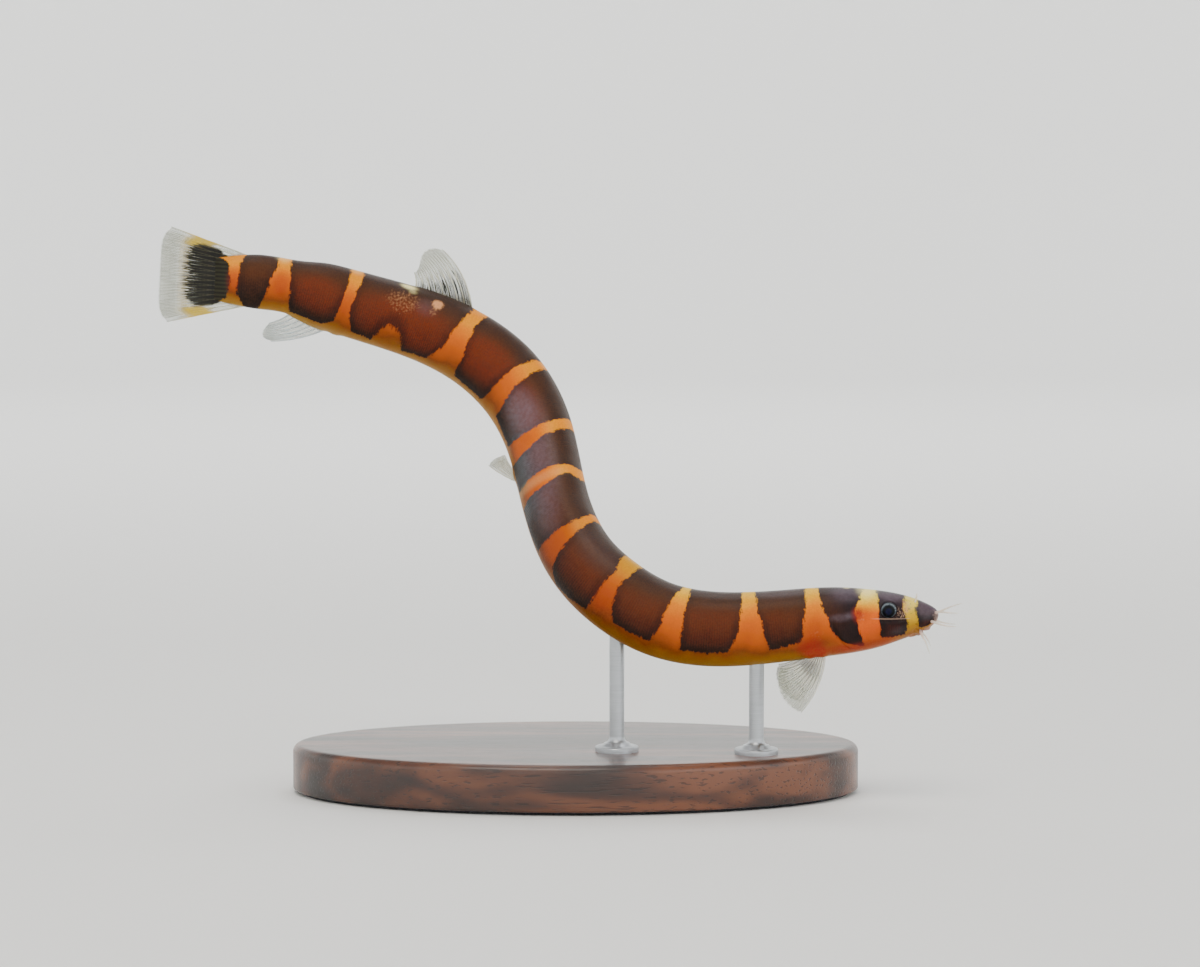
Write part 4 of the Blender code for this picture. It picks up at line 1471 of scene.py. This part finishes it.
class FinGraph(Graph):
    """The material of a fin's rays or membrane, put together from the values of its finish."""

    def __init__(self, look: FinFinish, is_ray: bool) -> None:
        """Read the shares across the rays and out from the root.

        Args:
            look: The finish.
            is_ray: Whether it is for the rays.
        """
        super().__init__(f"{look.name}_{'rays' if is_ray else 'membrane'}")
        self.look, self.is_ray = look, is_ray
        self.across, self.out = self.attribute("across"), self.attribute("out")

    def strands(self, count: float, breaks: float) -> Socket:
        """Return noise drawn out along the rays, with strands across and breaks on the way out."""
        place = self.pair(self.times(self.across, count), self.times(self.out, breaks))
        return self.noise(place, 1.0, 1.0)

    def streaked(self) -> Socket:
        """Draw fine dark streaks near the root.

        Returns:
            How dark they make the fin, from 0 to 1.
        """
        hairs = self.strands(*self.look.hairs)
        back = self.add(self.out, self.across, 0.3)
        reach = self.add(back, self.calc("SUBTRACT", hairs, 0.5), -1.7)
        streak = self.times(self.span(reach, 0.5, 0.28), self.span(hairs, 0.45, 0.53, 0.1, 1.0))
        streak = self.calc("MAXIMUM", streak, self.span(back, 0.26, 0.1, 0.0, 0.7))
        return self.times(streak, self.look.streaks)

    def spotted(self) -> Socket:
        """Draw the spot, with gaps between its rays further out.

        Returns:
            How dark it makes the fin, from 0 to 1.
        """
        lines = self.strands(*self.look.lines)
        sides = self.calc("ABSOLUTE", self.calc("SUBTRACT", self.across, 0.47))
        corner = self.times(self.calc("POWER", sides, 4.0), 5.5)
        uneven = self.add(self.out, self.calc("SUBTRACT", lines, 0.5), 0.42)
        spot = self.times(self.span(self.calc("ADD", uneven, corner), 0.73, 0.65),
                          self.span(sides, 0.45, 0.39))
        spot = self.times(spot, self.span(self.add(self.out, sides, -1.7), -0.48, -0.42))
        gaps = self.times(self.span(lines, 0.46, 0.38), self.span(self.out, 0.42, 0.7, 0.0, 0.7))
        return self.times(self.times(spot, self.calc("SUBTRACT", 1.0, gaps)), self.look.spot)

    def yellowed(self) -> Socket:
        """Colour the corners and the outer rim of the spot.

        Returns:
            How yellow the fin is, from 0 to 1.
        """
        sides = self.calc("ABSOLUTE", self.calc("SUBTRACT", self.across, 0.5))
        corners = self.times(self.span(sides, 0.32, 0.41),
                             self.window(self.out, 0.3, 0.46, 0.62, 0.86))
        rim = self.times(self.window(self.out, 0.58, 0.66, 0.68, 0.8), 0.5)
        return self.times(self.calc("MAXIMUM", corners, rim), self.look.yellow)

    def opacity(self, dark: Socket, yellow: Socket) -> Socket:
        """Say how much the fin covers: its rays well, its bare membrane little.

        Args:
            dark: How dark the fin is.
            yellow: How yellow it is.

        Returns:
            A share from 0 to 1.
        """
        if self.is_ray:
            return self.span(self.out, 0.5, 1.0, 1.0, 0.72)
        solid = self.calc("MAXIMUM", dark, self.times(yellow, 0.85))
        solid = self.calc("MAXIMUM", solid, self.span(self.out, 0.0, 0.16, 0.8, 0.0))
        haze = self.span(self.strands(*self.look.veil), 0.4, 0.66, self.look.clear - 0.06,
                         self.look.clear + 0.16)
        return self.calc("MAXIMUM", self.times(solid, 0.96), haze)

    def build(self) -> bpy.types.Material:
        """Join colours, cover, gloss and fine relief to the surface.

        Returns:
            The material.
        """
        look = self.look
        dark, yellow = self.calc("MAXIMUM", self.streaked(), self.spotted()), self.yellowed()
        grain = self.noise(self.place(), look.grain_scale)
        colour = self.mix(self.span(self.out, 0.0, 0.14, 0.75, 0.0),
                          look.ray if self.is_ray else look.membrane, look.root)
        colour = self.mix(yellow, colour, look.yellow_colour)
        blotch = self.times(self.window(self.out, 0.1, 0.2, 0.32, 0.5), 0.6 * look.blotch)
        blotch = self.times(blotch, self.span(self.across, 0.1, 0.45, 0.25, 1.0))
        colour = self.mix(blotch, colour, look.blotch_colour)
        colour = self.mix(self.span(grain, 0.4, 0.7, 0.0, 0.15), colour, look.speck)
        colour = self.mix(dark, colour, look.dark_ray if self.is_ray else look.dark_membrane)
        self.surface(base_color=colour, alpha=self.opacity(dark, yellow), gloss=look.gloss,
                     roughness=look.roughness, coat_weight=look.coat,
                     coat_roughness=look.coat_roughness, subsurface_weight=look.bleed,
                     subsurface_scale=look.bleed_depth, subsurface_radius=look.bleed_colour,
                     normal=self.bump(grain, 0.006 * MM))
        return self.material


# Share out from the root at which the rays start, inside the body.
ROOT_OUT = -0.04
# How much thinner a ray is after each fork.
BRANCH_SHRINK = 0.78


@dataclass(frozen=True)
class FinShape:
    """A fin as a curved sheet with rays in it. Subclasses say where the sheet lies.

    branch_starts has the shares out at which the rays fork, and scallop how far the edge is
    drawn in between them. sway is the depth of the slow waves to both sides, and waves has the
    size of each wave and how fast it turns across and out.
    """

    body: LoachBody
    name: str
    rays: int
    ray_radius: float = 0.075 * MM
    thickness: float = 0.06 * MM
    branch_starts: tuple = (0.38, 0.66)
    scallop: float = 0.025
    sway: float = 0.1 * MM
    waves: tuple = ((1.0, 5.2, 2.4), (0.5, 11.0, -3.0))
    step: float = 0.004
    columns: int = 120
    rows: int = 44
    ray_rings: int = 10
    ray_sides: int = 6

    def sheet(self, across: np.ndarray, out: np.ndarray) -> np.ndarray:
        """Return points of the fin's flat sheet.

        Args:
            across: Shares from the first ray to the last.
            out: Shares from the root to the edge.

        Returns:
            A row for each point.
        """
        raise NotImplementedError

    def waved(self, across: np.ndarray, out: np.ndarray) -> np.ndarray:
        """Return points of the sheet with its slow wave to both sides.

        Args:
            across: Shares from the first ray to the last.
            out: Shares from the root to the edge.

        Returns:
            A row for each point.
        """
        points = self.sheet(across, out)
        one = self.sheet(np.minimum(across + self.step, 1.0), out)
        other = self.sheet(np.maximum(across - self.step, 0.0), out)
        ahead = self.sheet(across, out + self.step) - self.sheet(across, out - self.step)
        normal = unit(np.cross(one - other, ahead))
        wave = sum(size * np.sin(sideways * across + outwards * out)
                   for size, sideways, outwards in self.waves)
        return points + (self.sway * wave * np.clip(out, 0.0, None) ** 1.5)[:, None] * normal

    def membrane(self) -> bmesh.types.BMesh:
        """Build the membrane, with its edge drawn in a little between the rays.

        Returns:
            Its mesh.
        """
        shape = new_shape("across", "out")
        vertices, across, out = new_sheet(shape, self.columns, self.rows)
        between = np.abs(np.sin(np.pi * across * (self.rays - 1) * 4)) ** 0.7
        between = between * 0.4 + 0.6 * np.abs(np.sin(np.pi * across * (self.rays - 1)))
        set_out(vertices, self.waved(across, out * (0.995 - self.scallop * between * out ** 6)))
        note(shape, vertices, "across", across)
        note(shape, vertices, "out", out)
        return shape

    def twigs(self) -> list:
        """Fork the rays.

        The two outermost rays run whole to the edge. The others run whole to their first fork,
        and each branch forks again.

        Returns:
            Shares across and out of each piece's two ends, with its radii.
        """
        gap, found = 1.0 / (self.rays - 1), []
        for i in range(self.rays):
            is_outer = i in (0, self.rays - 1)
            starts = (ROOT_OUT, 1.0) if is_outer else (ROOT_OUT, *self.branch_starts, 1.0)
            roots, spread = [i * gap], 0.25 * gap
            for level, (near, far) in enumerate(zip(starts, starts[1:])):
                thick = self.ray_radius * (1.3 if is_outer else BRANCH_SHRINK ** level)
                thin = thick * (0.45 if far == 1.0 else BRANCH_SHRINK)
                halves = (-spread, spread) if level else (0.0,)
                ends = [(root, root + half) for root in roots for half in halves]
                found += [(root, near, tip, far, thick, thin) for root, tip in ends]
                roots = [tip for _, tip in ends]
                spread = spread / 2 if level else spread
        return found

    def ray_mesh(self) -> bmesh.types.BMesh:
        """Build all rays as thin tubes.

        Returns:
            Their mesh.
        """
        shape = new_shape("across", "out")
        for across_0, out_0, across_1, out_1, root, tip in self.twigs():
            share = np.linspace(0.0, 1.0, self.ray_rings)
            eased = share if out_0 < 0 else share ** 0.6
            across = across_0 + (across_1 - across_0) * eased
            out = out_0 + (out_1 - out_0) * share
            radii = root + (tip - root) * share
            joints = 1 + 0.12 * np.cos(np.pi * np.arange(len(share)))
            path = self.waved(across, out)
            vertices, along = new_tube(shape, path, radii * joints, self.ray_sides)
            note(shape, vertices, "across", np.interp(along, share, across))
            note(shape, vertices, "out", np.interp(along, share, out))
        return shape

    def build(self, finish: FinFinish, nodes: Sequence[str]) -> list:
        """Build the fin.

        Args:
            finish: Its finish.
            nodes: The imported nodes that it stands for.

        Returns:
            The membrane and the rays.
        """
        sheet = as_piece(f"{self.name}_membrane", self.membrane(), [finish.build(False)],
                         Slot.FIN, nodes)
        wall = sheet.modifiers.new("thickness", "SOLIDIFY")
        wall.thickness = self.thickness
        wall.offset = 0.0
        rays = as_piece(f"{self.name}_rays", self.ray_mesh(), [finish.build(True)], Slot.FIN,
                        nodes)
        return [sheet, rays]


@dataclass(frozen=True)
class FanFin(FinShape):
    """A fin whose rays fan out from a straight root along the body.

    The root starts at a distance along the fish and is as long as base. first_lean and
    last_lean are the degrees by which the outer rays rise from the body, and splay is how far
    the fin is turned round the body from upright.
    """

    start: float = 0.0
    base: float = 0.0
    first_ray: float = 0.0
    last_ray: float = 0.0
    fall: float = 1.0
    first_lean: float = 0.0
    last_lean: float = 0.0
    lean_power: float = 1.0
    bow: float = 0.0
    around: float = 90.0
    splay: float = 0.0
    sink: float = 0.1 * MM

    def sheet(self, across: np.ndarray, out: np.ndarray) -> np.ndarray:
        """Return points of the fin's flat sheet.

        Args:
            across: Shares from the first ray to the last.
            out: Shares from the root to the edge.

        Returns:
            A row for each point.
        """
        distance = self.start + across * self.base
        _, forward, left, up = self.body.frames(distance)
        splay = math.radians(self.splay)
        away = math.sin(splay) * left + math.cos(splay) * up
        fade = np.cos(np.radians(90.0 * across)) ** self.fall
        length = self.last_ray + (self.first_ray - self.last_ray) * fade
        turn = self.first_lean + (self.last_lean - self.first_lean) * across ** self.lean_power
        lean = np.radians(turn)[:, None]
        ray = np.sin(lean) * away - np.cos(lean) * forward
        ahead = np.cos(lean) * away + np.sin(lean) * forward
        root = self.body.lifted(distance, self.around, -self.sink)
        bow = (4 * self.bow * out * (1 - out))[:, None]
        lift = (CAD_GAP + self.sink) * np.clip(out, 0.0, 1.0)[:, None]
        skin = self.body.outward(distance, self.around)
        return root + lift * skin + length[:, None] * (out[:, None] * ray + bow * ahead)


@dataclass(frozen=True)
class TailFin(FinShape):
    """The square-cut tail fin, with low crests that run forwards on the tail's stalk.

    crest is the length of a crest, and crest_share the share of the fin across that grows from
    it. The rest grows from root_share of the body's height.
    """

    length: float = 7.4 * MM
    top: float = 5.1 * MM
    bottom: float = -4.7 * MM
    corner: float = 1.0 * MM
    corner_power: float = 6.0
    crest: float = 1.5 * MM
    crest_share: float = 0.13
    root_share: float = 0.94
    root_depth: float = 0.4 * MM
    sink: float = 0.1 * MM

    def sheet(self, across: np.ndarray, out: np.ndarray) -> np.ndarray:
        """Return points of the fin's flat sheet.

        Args:
            across: Shares from the first ray to the last.
            out: Shares from the root to the edge.

        Returns:
            A row for each point.
        """
        end = self.body.end
        centre, forward, _, up = (rows[0] for rows in self.body.frames(end))
        above, below, _ = (size[0] for size in self.body.sizes(np.array([end])))
        share = self.crest_share
        near_top = np.clip(1 - across / share, 0.0, 1.0)
        near_bottom = np.clip((across - 1 + share) / share, 0.0, 1.0)
        height = np.interp(across, (share, 1 - share), (above, -below))
        root = centre + self.root_depth * forward + self.root_share * height[:, None] * up
        for near, around in ((near_top, 90.0), (near_bottom, 270.0)):
            on_crest = self.body.lifted(end - self.crest * near, around, -self.sink)
            root = np.where(near[:, None] > 0, on_crest, root)
        rise = self.top + (self.bottom - self.top) * across
        reach = self.length - self.corner * np.abs(2 * across - 1) ** self.corner_power
        edge = centre - reach[:, None] * forward + rise[:, None] * up
        return root + out[:, None] * (edge - root)


@dataclass(frozen=True)
class Fins:
    """All fins of the fish."""

    body: LoachBody
    pectoral_rise: float = -62.0
    pectoral_splay: float = 25.0
    pelvic_rise: float = -68.0
    pelvic_splay: float = 35.0

    def build(self) -> list:
        """Build all fins.

        Returns:
            Their pieces.
        """
        pieces = []
        dorsal = FanFin(self.body, "back_fin", rays=9, start=68.3 * MM, base=5.7 * MM,
                        first_ray=6.7 * MM, last_ray=1.3 * MM, fall=1.35, first_lean=34.0,
                        last_lean=58.0, lean_power=3.0, bow=0.1)
        pieces += dorsal.build(FinFinish("back_fin", streaks=1.0), ["dorsal_fin"])
        anal = FanFin(self.body, "under_fin", rays=7, start=81.7 * MM, base=4.1 * MM,
                      first_ray=5.6 * MM, last_ray=2.2 * MM, first_lean=25.0, last_lean=28.0,
                      bow=0.055, around=270.0, splay=180.0)
        pieces += anal.build(FinFinish("under_fin", ray="c6cfd3"), ["anal_fin"])
        tail = TailFin(self.body, "tail_fin", rays=TAIL_RAYS, columns=200, rows=60,
                       ray_radius=0.065 * MM, branch_starts=(0.3, 0.54, 0.76), scallop=0.012)
        pieces += tail.build(FinFinish("tail_fin", spot=1.0, yellow=0.95, clear=0.3,
                                       ray="bcbdac"), ["caudal_fin"])
        breast = FinFinish("breast_fin", blotch=1.0, ray="dedacf")
        hip = FinFinish("hip_fin")
        for side in Side:
            word = side.name.lower()
            pectoral = FanFin(
                self.body, f"breast_fin_{word}", rays=10, start=11.6 * MM, base=1.5 * MM,
                first_ray=6.3 * MM, last_ray=3.3 * MM, first_lean=62.0, last_lean=12.0,
                lean_power=1.3, bow=0.09, around=float(round_to(side, self.pectoral_rise)),
                splay=side.value * (180.0 - self.pectoral_splay), branch_starts=(0.36, 0.64))
            pieces += pectoral.build(breast, [f"pectoral_fin_{word}"])
            pelvic = FanFin(
                self.body, f"hip_fin_{word}", rays=7, start=50.0 * MM, base=1.2 * MM,
                first_ray=3.3 * MM, last_ray=2.2 * MM, first_lean=40.0, last_lean=6.0,
                bow=0.04, around=float(round_to(side, self.pelvic_rise)),
                splay=side.value * (180.0 - self.pelvic_splay), columns=72, rows=30)
            pieces += pelvic.build(hip, [f"pelvic_fin_{word}"])
        return pieces


@dataclass(frozen=True)
class WoodFinish:
    """Dark stained hardwood with long grain under a satin varnish.

    flow, grain and pores are the noise scales along and across the grain.
    """

    roughness: tuple = (0.38, 0.34)
    coat: float = 0.35
    coat_roughness: float = 0.18
    flow: tuple = (14.0, 90.0, 90.0)
    grain: tuple = (26.0, 260.0, 260.0)
    pores: tuple = (300.0, 4200.0, 4200.0)
    shades: Stops = ((0.25, "1c0d07"), (0.42, "34190d"), (0.55, "4b2715"), (0.72, "6b3c22"))
    pore: str = "120805"
    pore_depth: float = 0.02 * MM

    def build(self) -> bpy.types.Material:
        """Join grain, pores and varnish.

        Returns:
            The wood.
        """
        graph = Graph("stand_walnut")
        flow = graph.noise(graph.place(self.flow), 1.0, 3.0)
        grain = graph.noise(graph.place(self.grain), 1.0, 6.0)
        pits = graph.span(graph.noise(graph.place(self.pores), 1.0), 0.56, 0.66)
        streaks = graph.calc("SINE", graph.times(flow, 46.0))
        colour = graph.ramp(graph.add(grain, streaks, 0.12), self.shades)
        colour = graph.mix(graph.times(pits, 0.6), colour, self.pore)
        graph.surface(base_color=colour, roughness=graph.span(grain, 0.3, 0.7, *self.roughness),
                      coat_weight=self.coat, coat_roughness=self.coat_roughness,
                      normal=graph.bump(graph.times(pits, -1.0), self.pore_depth))
        return graph.material


@dataclass(frozen=True)
class FeltFinish:
    """Charcoal felt below the base."""

    roughness: float = 0.95
    shades: Stops = ((0.3, "1d1e20"), (0.7, "3c3d40"))
    fibre_scale: float = 5200.0
    pile: float = 0.08 * MM

    def build(self) -> bpy.types.Material:
        """Join fibres and pile.

        Returns:
            The felt.
        """
        graph = Graph("stand_felt")
        fibres = graph.noise(graph.place(), self.fibre_scale, 4.0)
        graph.surface(base_color=graph.ramp(fibres, self.shades), roughness=self.roughness,
                      normal=graph.bump(fibres, self.pile))
        return graph.material


@dataclass(frozen=True)
class SteelFinish:
    """Steel with the fine rings that turning leaves on it."""

    roughness: tuple = (0.32, 0.44)
    rings: tuple = (300.0, 300.0, 16000.0)
    shades: Stops = ((0.3, "a8acb0"), (0.7, "b8bbbf"))
    smear_scale: float = 900.0
    ring_depth: float = 0.001 * MM

    def build(self) -> bpy.types.Material:
        """Join turned rings and smears.

        Returns:
            The steel.
        """
        graph = Graph("stand_steel")
        rings = graph.noise(graph.place(self.rings), 1.0)
        smears = graph.noise(graph.place(), self.smear_scale)
        graph.surface(base_color=graph.ramp(rings, self.shades), metallic=1.0,
                      roughness=graph.span(smears, 0.3, 0.7, *self.roughness),
                      normal=graph.bump(rings, self.ring_depth))
        return graph.material


@dataclass(frozen=True)
class Stand:
    """The oval wooden base on felt, with two turned steel rods that carry the fish.

    rods has each rod's name and its place on the base. sink is how far its foot stands into the
    base, bite how far its top stands into the belly, and turns how many faces it has round it.
    """

    body: LoachBody
    length: float = 58.0 * MM
    width: float = 32.0 * MM
    height: float = 5.0 * MM
    round_top: float = 0.8 * MM
    round_foot: float = 0.25 * MM
    felt: float = 0.35 * MM
    felt_inset: float = 0.9 * MM
    sides: int = 160
    rods: tuple = (("front", 18.2 * MM, -7.5 * MM), ("rear", 4.2 * MM, -5.9 * MM))
    rod_radius: float = 0.75 * MM
    foot_radius: float = 2.2 * MM
    foot_height: float = 0.9 * MM
    foot_round: float = 0.25 * MM
    collar: float = 0.75 * MM
    fillet_width: float = 0.55 * MM
    fillet_height: float = 0.7 * MM
    sink: float = 0.05 * MM
    bite: float = 0.45 * MM
    turns: int = 72

    def oval(self, shape: bmesh.types.BMesh, shrink: float, bottom: float, top: float) -> list:
        """Add an oval plate.

        Args:
            shape: The mesh that gets it.
            shrink: How far its edge lies inside the base's.
            bottom: Height of its underside.
            top: Height of its top.

        Returns:
            Its vertices.
        """
        plate = bmesh.ops.create_cone(shape, cap_ends=True, segments=self.sides, radius1=0.5,
                                      radius2=0.5, depth=1.0, calc_uvs=True)["verts"]
        size = (self.length - 2 * shrink, self.width - 2 * shrink, top - bottom)
        bmesh.ops.scale(shape, verts=plate, vec=size)
        bmesh.ops.translate(shape, verts=plate, vec=(0.0, 0.0, (top + bottom) / 2))
        return plate

    def build_base(self, wood: WoodFinish, felt: FeltFinish) -> bpy.types.Object:
        """Build the base with its felt.

        Args:
            wood: Finish of the base.
            felt: Finish of the pad below it.

        Returns:
            The base.
        """
        shape = new_shape()
        self.oval(shape, 0.0, self.felt, self.height)
        for level, radius, steps in ((self.height, self.round_top, 8),
                                     (self.felt, self.round_foot, 3)):
            rim = [edge for edge in shape.edges
                   if all(abs(vertex.co.z - level) < 0.01 * MM for vertex in edge.verts)]
            bmesh.ops.bevel(shape, geom=rim, offset=radius, offset_type="OFFSET", segments=steps,
                            profile=0.5, affect="EDGES", material=-1, clamp_overlap=True)
        top = [face for face in shape.faces if face.normal.z > 0.99 and len(face.verts) > 40]
        bmesh.ops.inset_region(shape, faces=top, thickness=0.4 * MM, depth=0.0,
                               use_even_offset=True)
        pad = self.oval(shape, self.felt_inset, 0.0, self.felt + 0.02 * MM)
        for face in {face for vertex in pad for face in vertex.link_faces}:
            face.material_index = 1
        return as_piece("oval_base", shape, [wood.build(), felt.build()], Slot.WOOD,
                        ["stand_base"])

    def profile(self, top: float) -> list:
        """Return the outline of a rod as radii and heights, from the foot to the top.

        Args:
            top: Height of its top.

        Returns:
            The outline.
        """
        floor, foot = self.height, self.foot_height
        outline = [(0.0, floor - self.sink), (self.foot_radius, floor - self.sink),
                   (self.foot_radius, floor + 0.42 * foot)]
        for sine, cosine in quarter(6)[1:]:
            outline.append((self.foot_radius - self.foot_round * (1 - cosine),
                            floor + 0.42 * foot + 0.2 * foot * sine))
        outline.append((self.rod_radius + self.collar, floor + 0.66 * foot))
        for sine, cosine in quarter(8):
            outline.append((self.rod_radius + self.fillet_width * (1 - sine),
                            floor + foot - self.sink + self.fillet_height * (1 - cosine)))
        return outline + [(self.rod_radius, top), (0.0, top)]

    def belly_height(self, x: float) -> float:
        """Return the height of the belly's lowest line.

        Args:
            x: Place along the base.

        Returns:
            The height above the floor.
        """
        distances = np.linspace(11.0 * MM, 42.0 * MM, 400)
        belly = self.body.surface(distances, 270.0)
        order = np.argsort(belly[:, 0])
        return float(np.interp(x, belly[order, 0], belly[order, 2]))

    def build_rod(self, word: str, x: float, y: float,
                  steel: bpy.types.Material) -> bpy.types.Object:
        """Build one rod.

        Args:
            word: Which rod it is.
            x: Its place along the base.
            y: Its place across the base.
            steel: Its material.

        Returns:
            The rod.
        """
        shape = new_shape()
        new_turning(shape, self.profile(self.belly_height(x) + self.bite), (x, y), self.turns)
        rod = as_piece(f"rod_{word}", shape, [steel], Slot.STEEL, [f"stand_rod_{word}"])
        rod.data.set_sharp_from_angle(angle=math.radians(50.0))
        return rod

    def build(self, wood: WoodFinish, felt: FeltFinish, steel: SteelFinish) -> list:
        """Build the stand.

        Args:
            wood: Finish of the base.
            felt: Finish of the pad below it.
            steel: Finish of the rods.

        Returns:
            Its pieces.
        """
        turned = steel.build()
        return [self.build_base(wood, felt)] + [self.build_rod(word, x, y, turned)
                                                for word, x, y in self.rods]


@dataclass(frozen=True)
class Studio:
    """A plain pale bowl of floor and wall, soft lights and the camera.

    lamps has each lamp's name, place, size, power and colour. washers is the number of lamps
    that light the wall all round: wash has their distance from the middle, their height, the
    height that they aim at, their size, power and colour. air has the colour and the strength of
    the light from all sides, and reach how near and how far the camera sees.
    """

    floor_colour: str = "f1f1ef"
    floor_roughness: float = 0.85
    floor_radius: float = 1.1
    sweep: float = 0.5
    wall_height: float = 1.2
    turns: int = 96
    camera_place: tuple = (0.0025, -0.3397, 0.0554)
    camera_pitch: float = 4.0
    lens: float = 100.0
    sensor: float = 36.0
    reach: tuple = (0.01, 10.0)
    air: tuple = ("eef1f4", 0.5)
    aim: tuple = (0.0, 0.0, 0.033)
    lamps: tuple = (("key", (-0.1, -0.34, 0.66), 0.36, 2.4, "fff7ec"),
                    ("fill", (0.5, -0.5, 0.25), 0.5, 0.7, "f2f6ff"),
                    ("crown", (0.05, 0.26, 0.62), 0.36, 1.5, "ffffff"))
    washers: int = 4
    wash: tuple = (0.5, 0.9, 0.45, 0.7, 12.0, "ffffff")

    def build_bowl(self) -> bpy.types.Object:
        """Build the floor, which curves up into a wall all round.

        Returns:
            The bowl.
        """
        graph = Graph("studio_paper")
        graph.surface(base_color=paint(self.floor_colour), roughness=self.floor_roughness)
        shape = bmesh.new()
        outline = [(0.0, 0.0), (self.floor_radius, 0.0)]
        outline += [(self.floor_radius + self.sweep * sine, self.sweep * (1 - cosine))
                    for sine, cosine in quarter(16)[1:]]
        outline.append((self.floor_radius + self.sweep, self.wall_height))
        new_turning(shape, outline, (0.0, 0.0), self.turns)
        bmesh.ops.remove_doubles(shape, verts=shape.verts[:], dist=0.01 * MM)
        bmesh.ops.recalc_face_normals(shape, faces=shape.faces[:])
        bmesh.ops.reverse_faces(shape, faces=shape.faces[:])
        return smooth_object("studio_bowl", shape, [graph.material])

    def one_lamp(self, name: str, place: Vector, aim: Vector, size: float, power: float,
                 colour: str) -> bpy.types.Object:
        """Build a square lamp.

        Args:
            name: Its name.
            place: Its place.
            aim: The place that it is turned to.
            size: Its width.
            power: Its power in watts.
            colour: Its colour.

        Returns:
            The lamp.
        """
        data = bpy.data.lights.new(name, "AREA")
        data.size, data.energy, data.color = size, power, paint(colour)[:3]
        lamp = new_object(name, data)
        lamp.rotation_euler = (aim - place).to_track_quat("-Z", "Y").to_euler()
        lamp.location = place
        return lamp

    def build_lamps(self) -> list:
        """Build the soft lamps over the fish and those that light the wall.

        Returns:
            The lamps.
        """
        lamps = [self.one_lamp(name, Vector(place), Vector(self.aim), size, power, colour)
                 for name, place, size, power, colour in self.lamps]
        off, height, aim_height, size, power, colour = self.wash
        for i in range(self.washers):
            turn = 2 * math.pi * i / self.washers
            way = Vector((math.sin(turn), math.cos(turn), 0.0))
            place = off * way + Vector((0.0, 0.0, height))
            aim = (self.floor_radius + self.sweep) * way + Vector((0.0, 0.0, aim_height))
            lamps.append(self.one_lamp(f"wash_{i + 1}", place, aim, size, power, colour))
        return lamps

    def build(self) -> None:
        """Build the studio round the model."""
        self.build_bowl()
        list(self.build_lamps())
        world = bpy.data.worlds.new("studio_air")
        world.use_nodes = True
        light = world.node_tree.nodes["Background"]
        light.inputs["Color"].default_value = paint(self.air[0])
        light.inputs["Strength"].default_value = self.air[1]
        bpy.context.scene.world = world
        data = bpy.data.cameras.new("camera")
        data.lens, data.sensor_width = self.lens, self.sensor
        data.clip_start, data.clip_end = self.reach
        camera = new_object("camera", data)
        camera.location = self.camera_place
        camera.rotation_euler = (math.radians(90.0 - self.camera_pitch), 0.0, 0.0)
        bpy.context.scene.camera = camera


def main() -> None:
    """Build the fish, its stand and the studio in order, and report each piece."""
    logging.basicConfig(level=logging.INFO, format="%(name)s %(message)s")
    body = LoachBody()
    pieces = [Skin(body).build(SkinFinish())]
    pieces += Eyes(body).build(EyeFinish())
    pieces += Barbels(body).build(BarbelFinish())
    pieces += Fins(body).build()
    pieces += Stand(body).build(WoodFinish(), FeltFinish(), SteelFinish())
    Studio().build()
    LOG.info("built %d pieces", len(pieces))


if __name__ == "__main__":
    main()
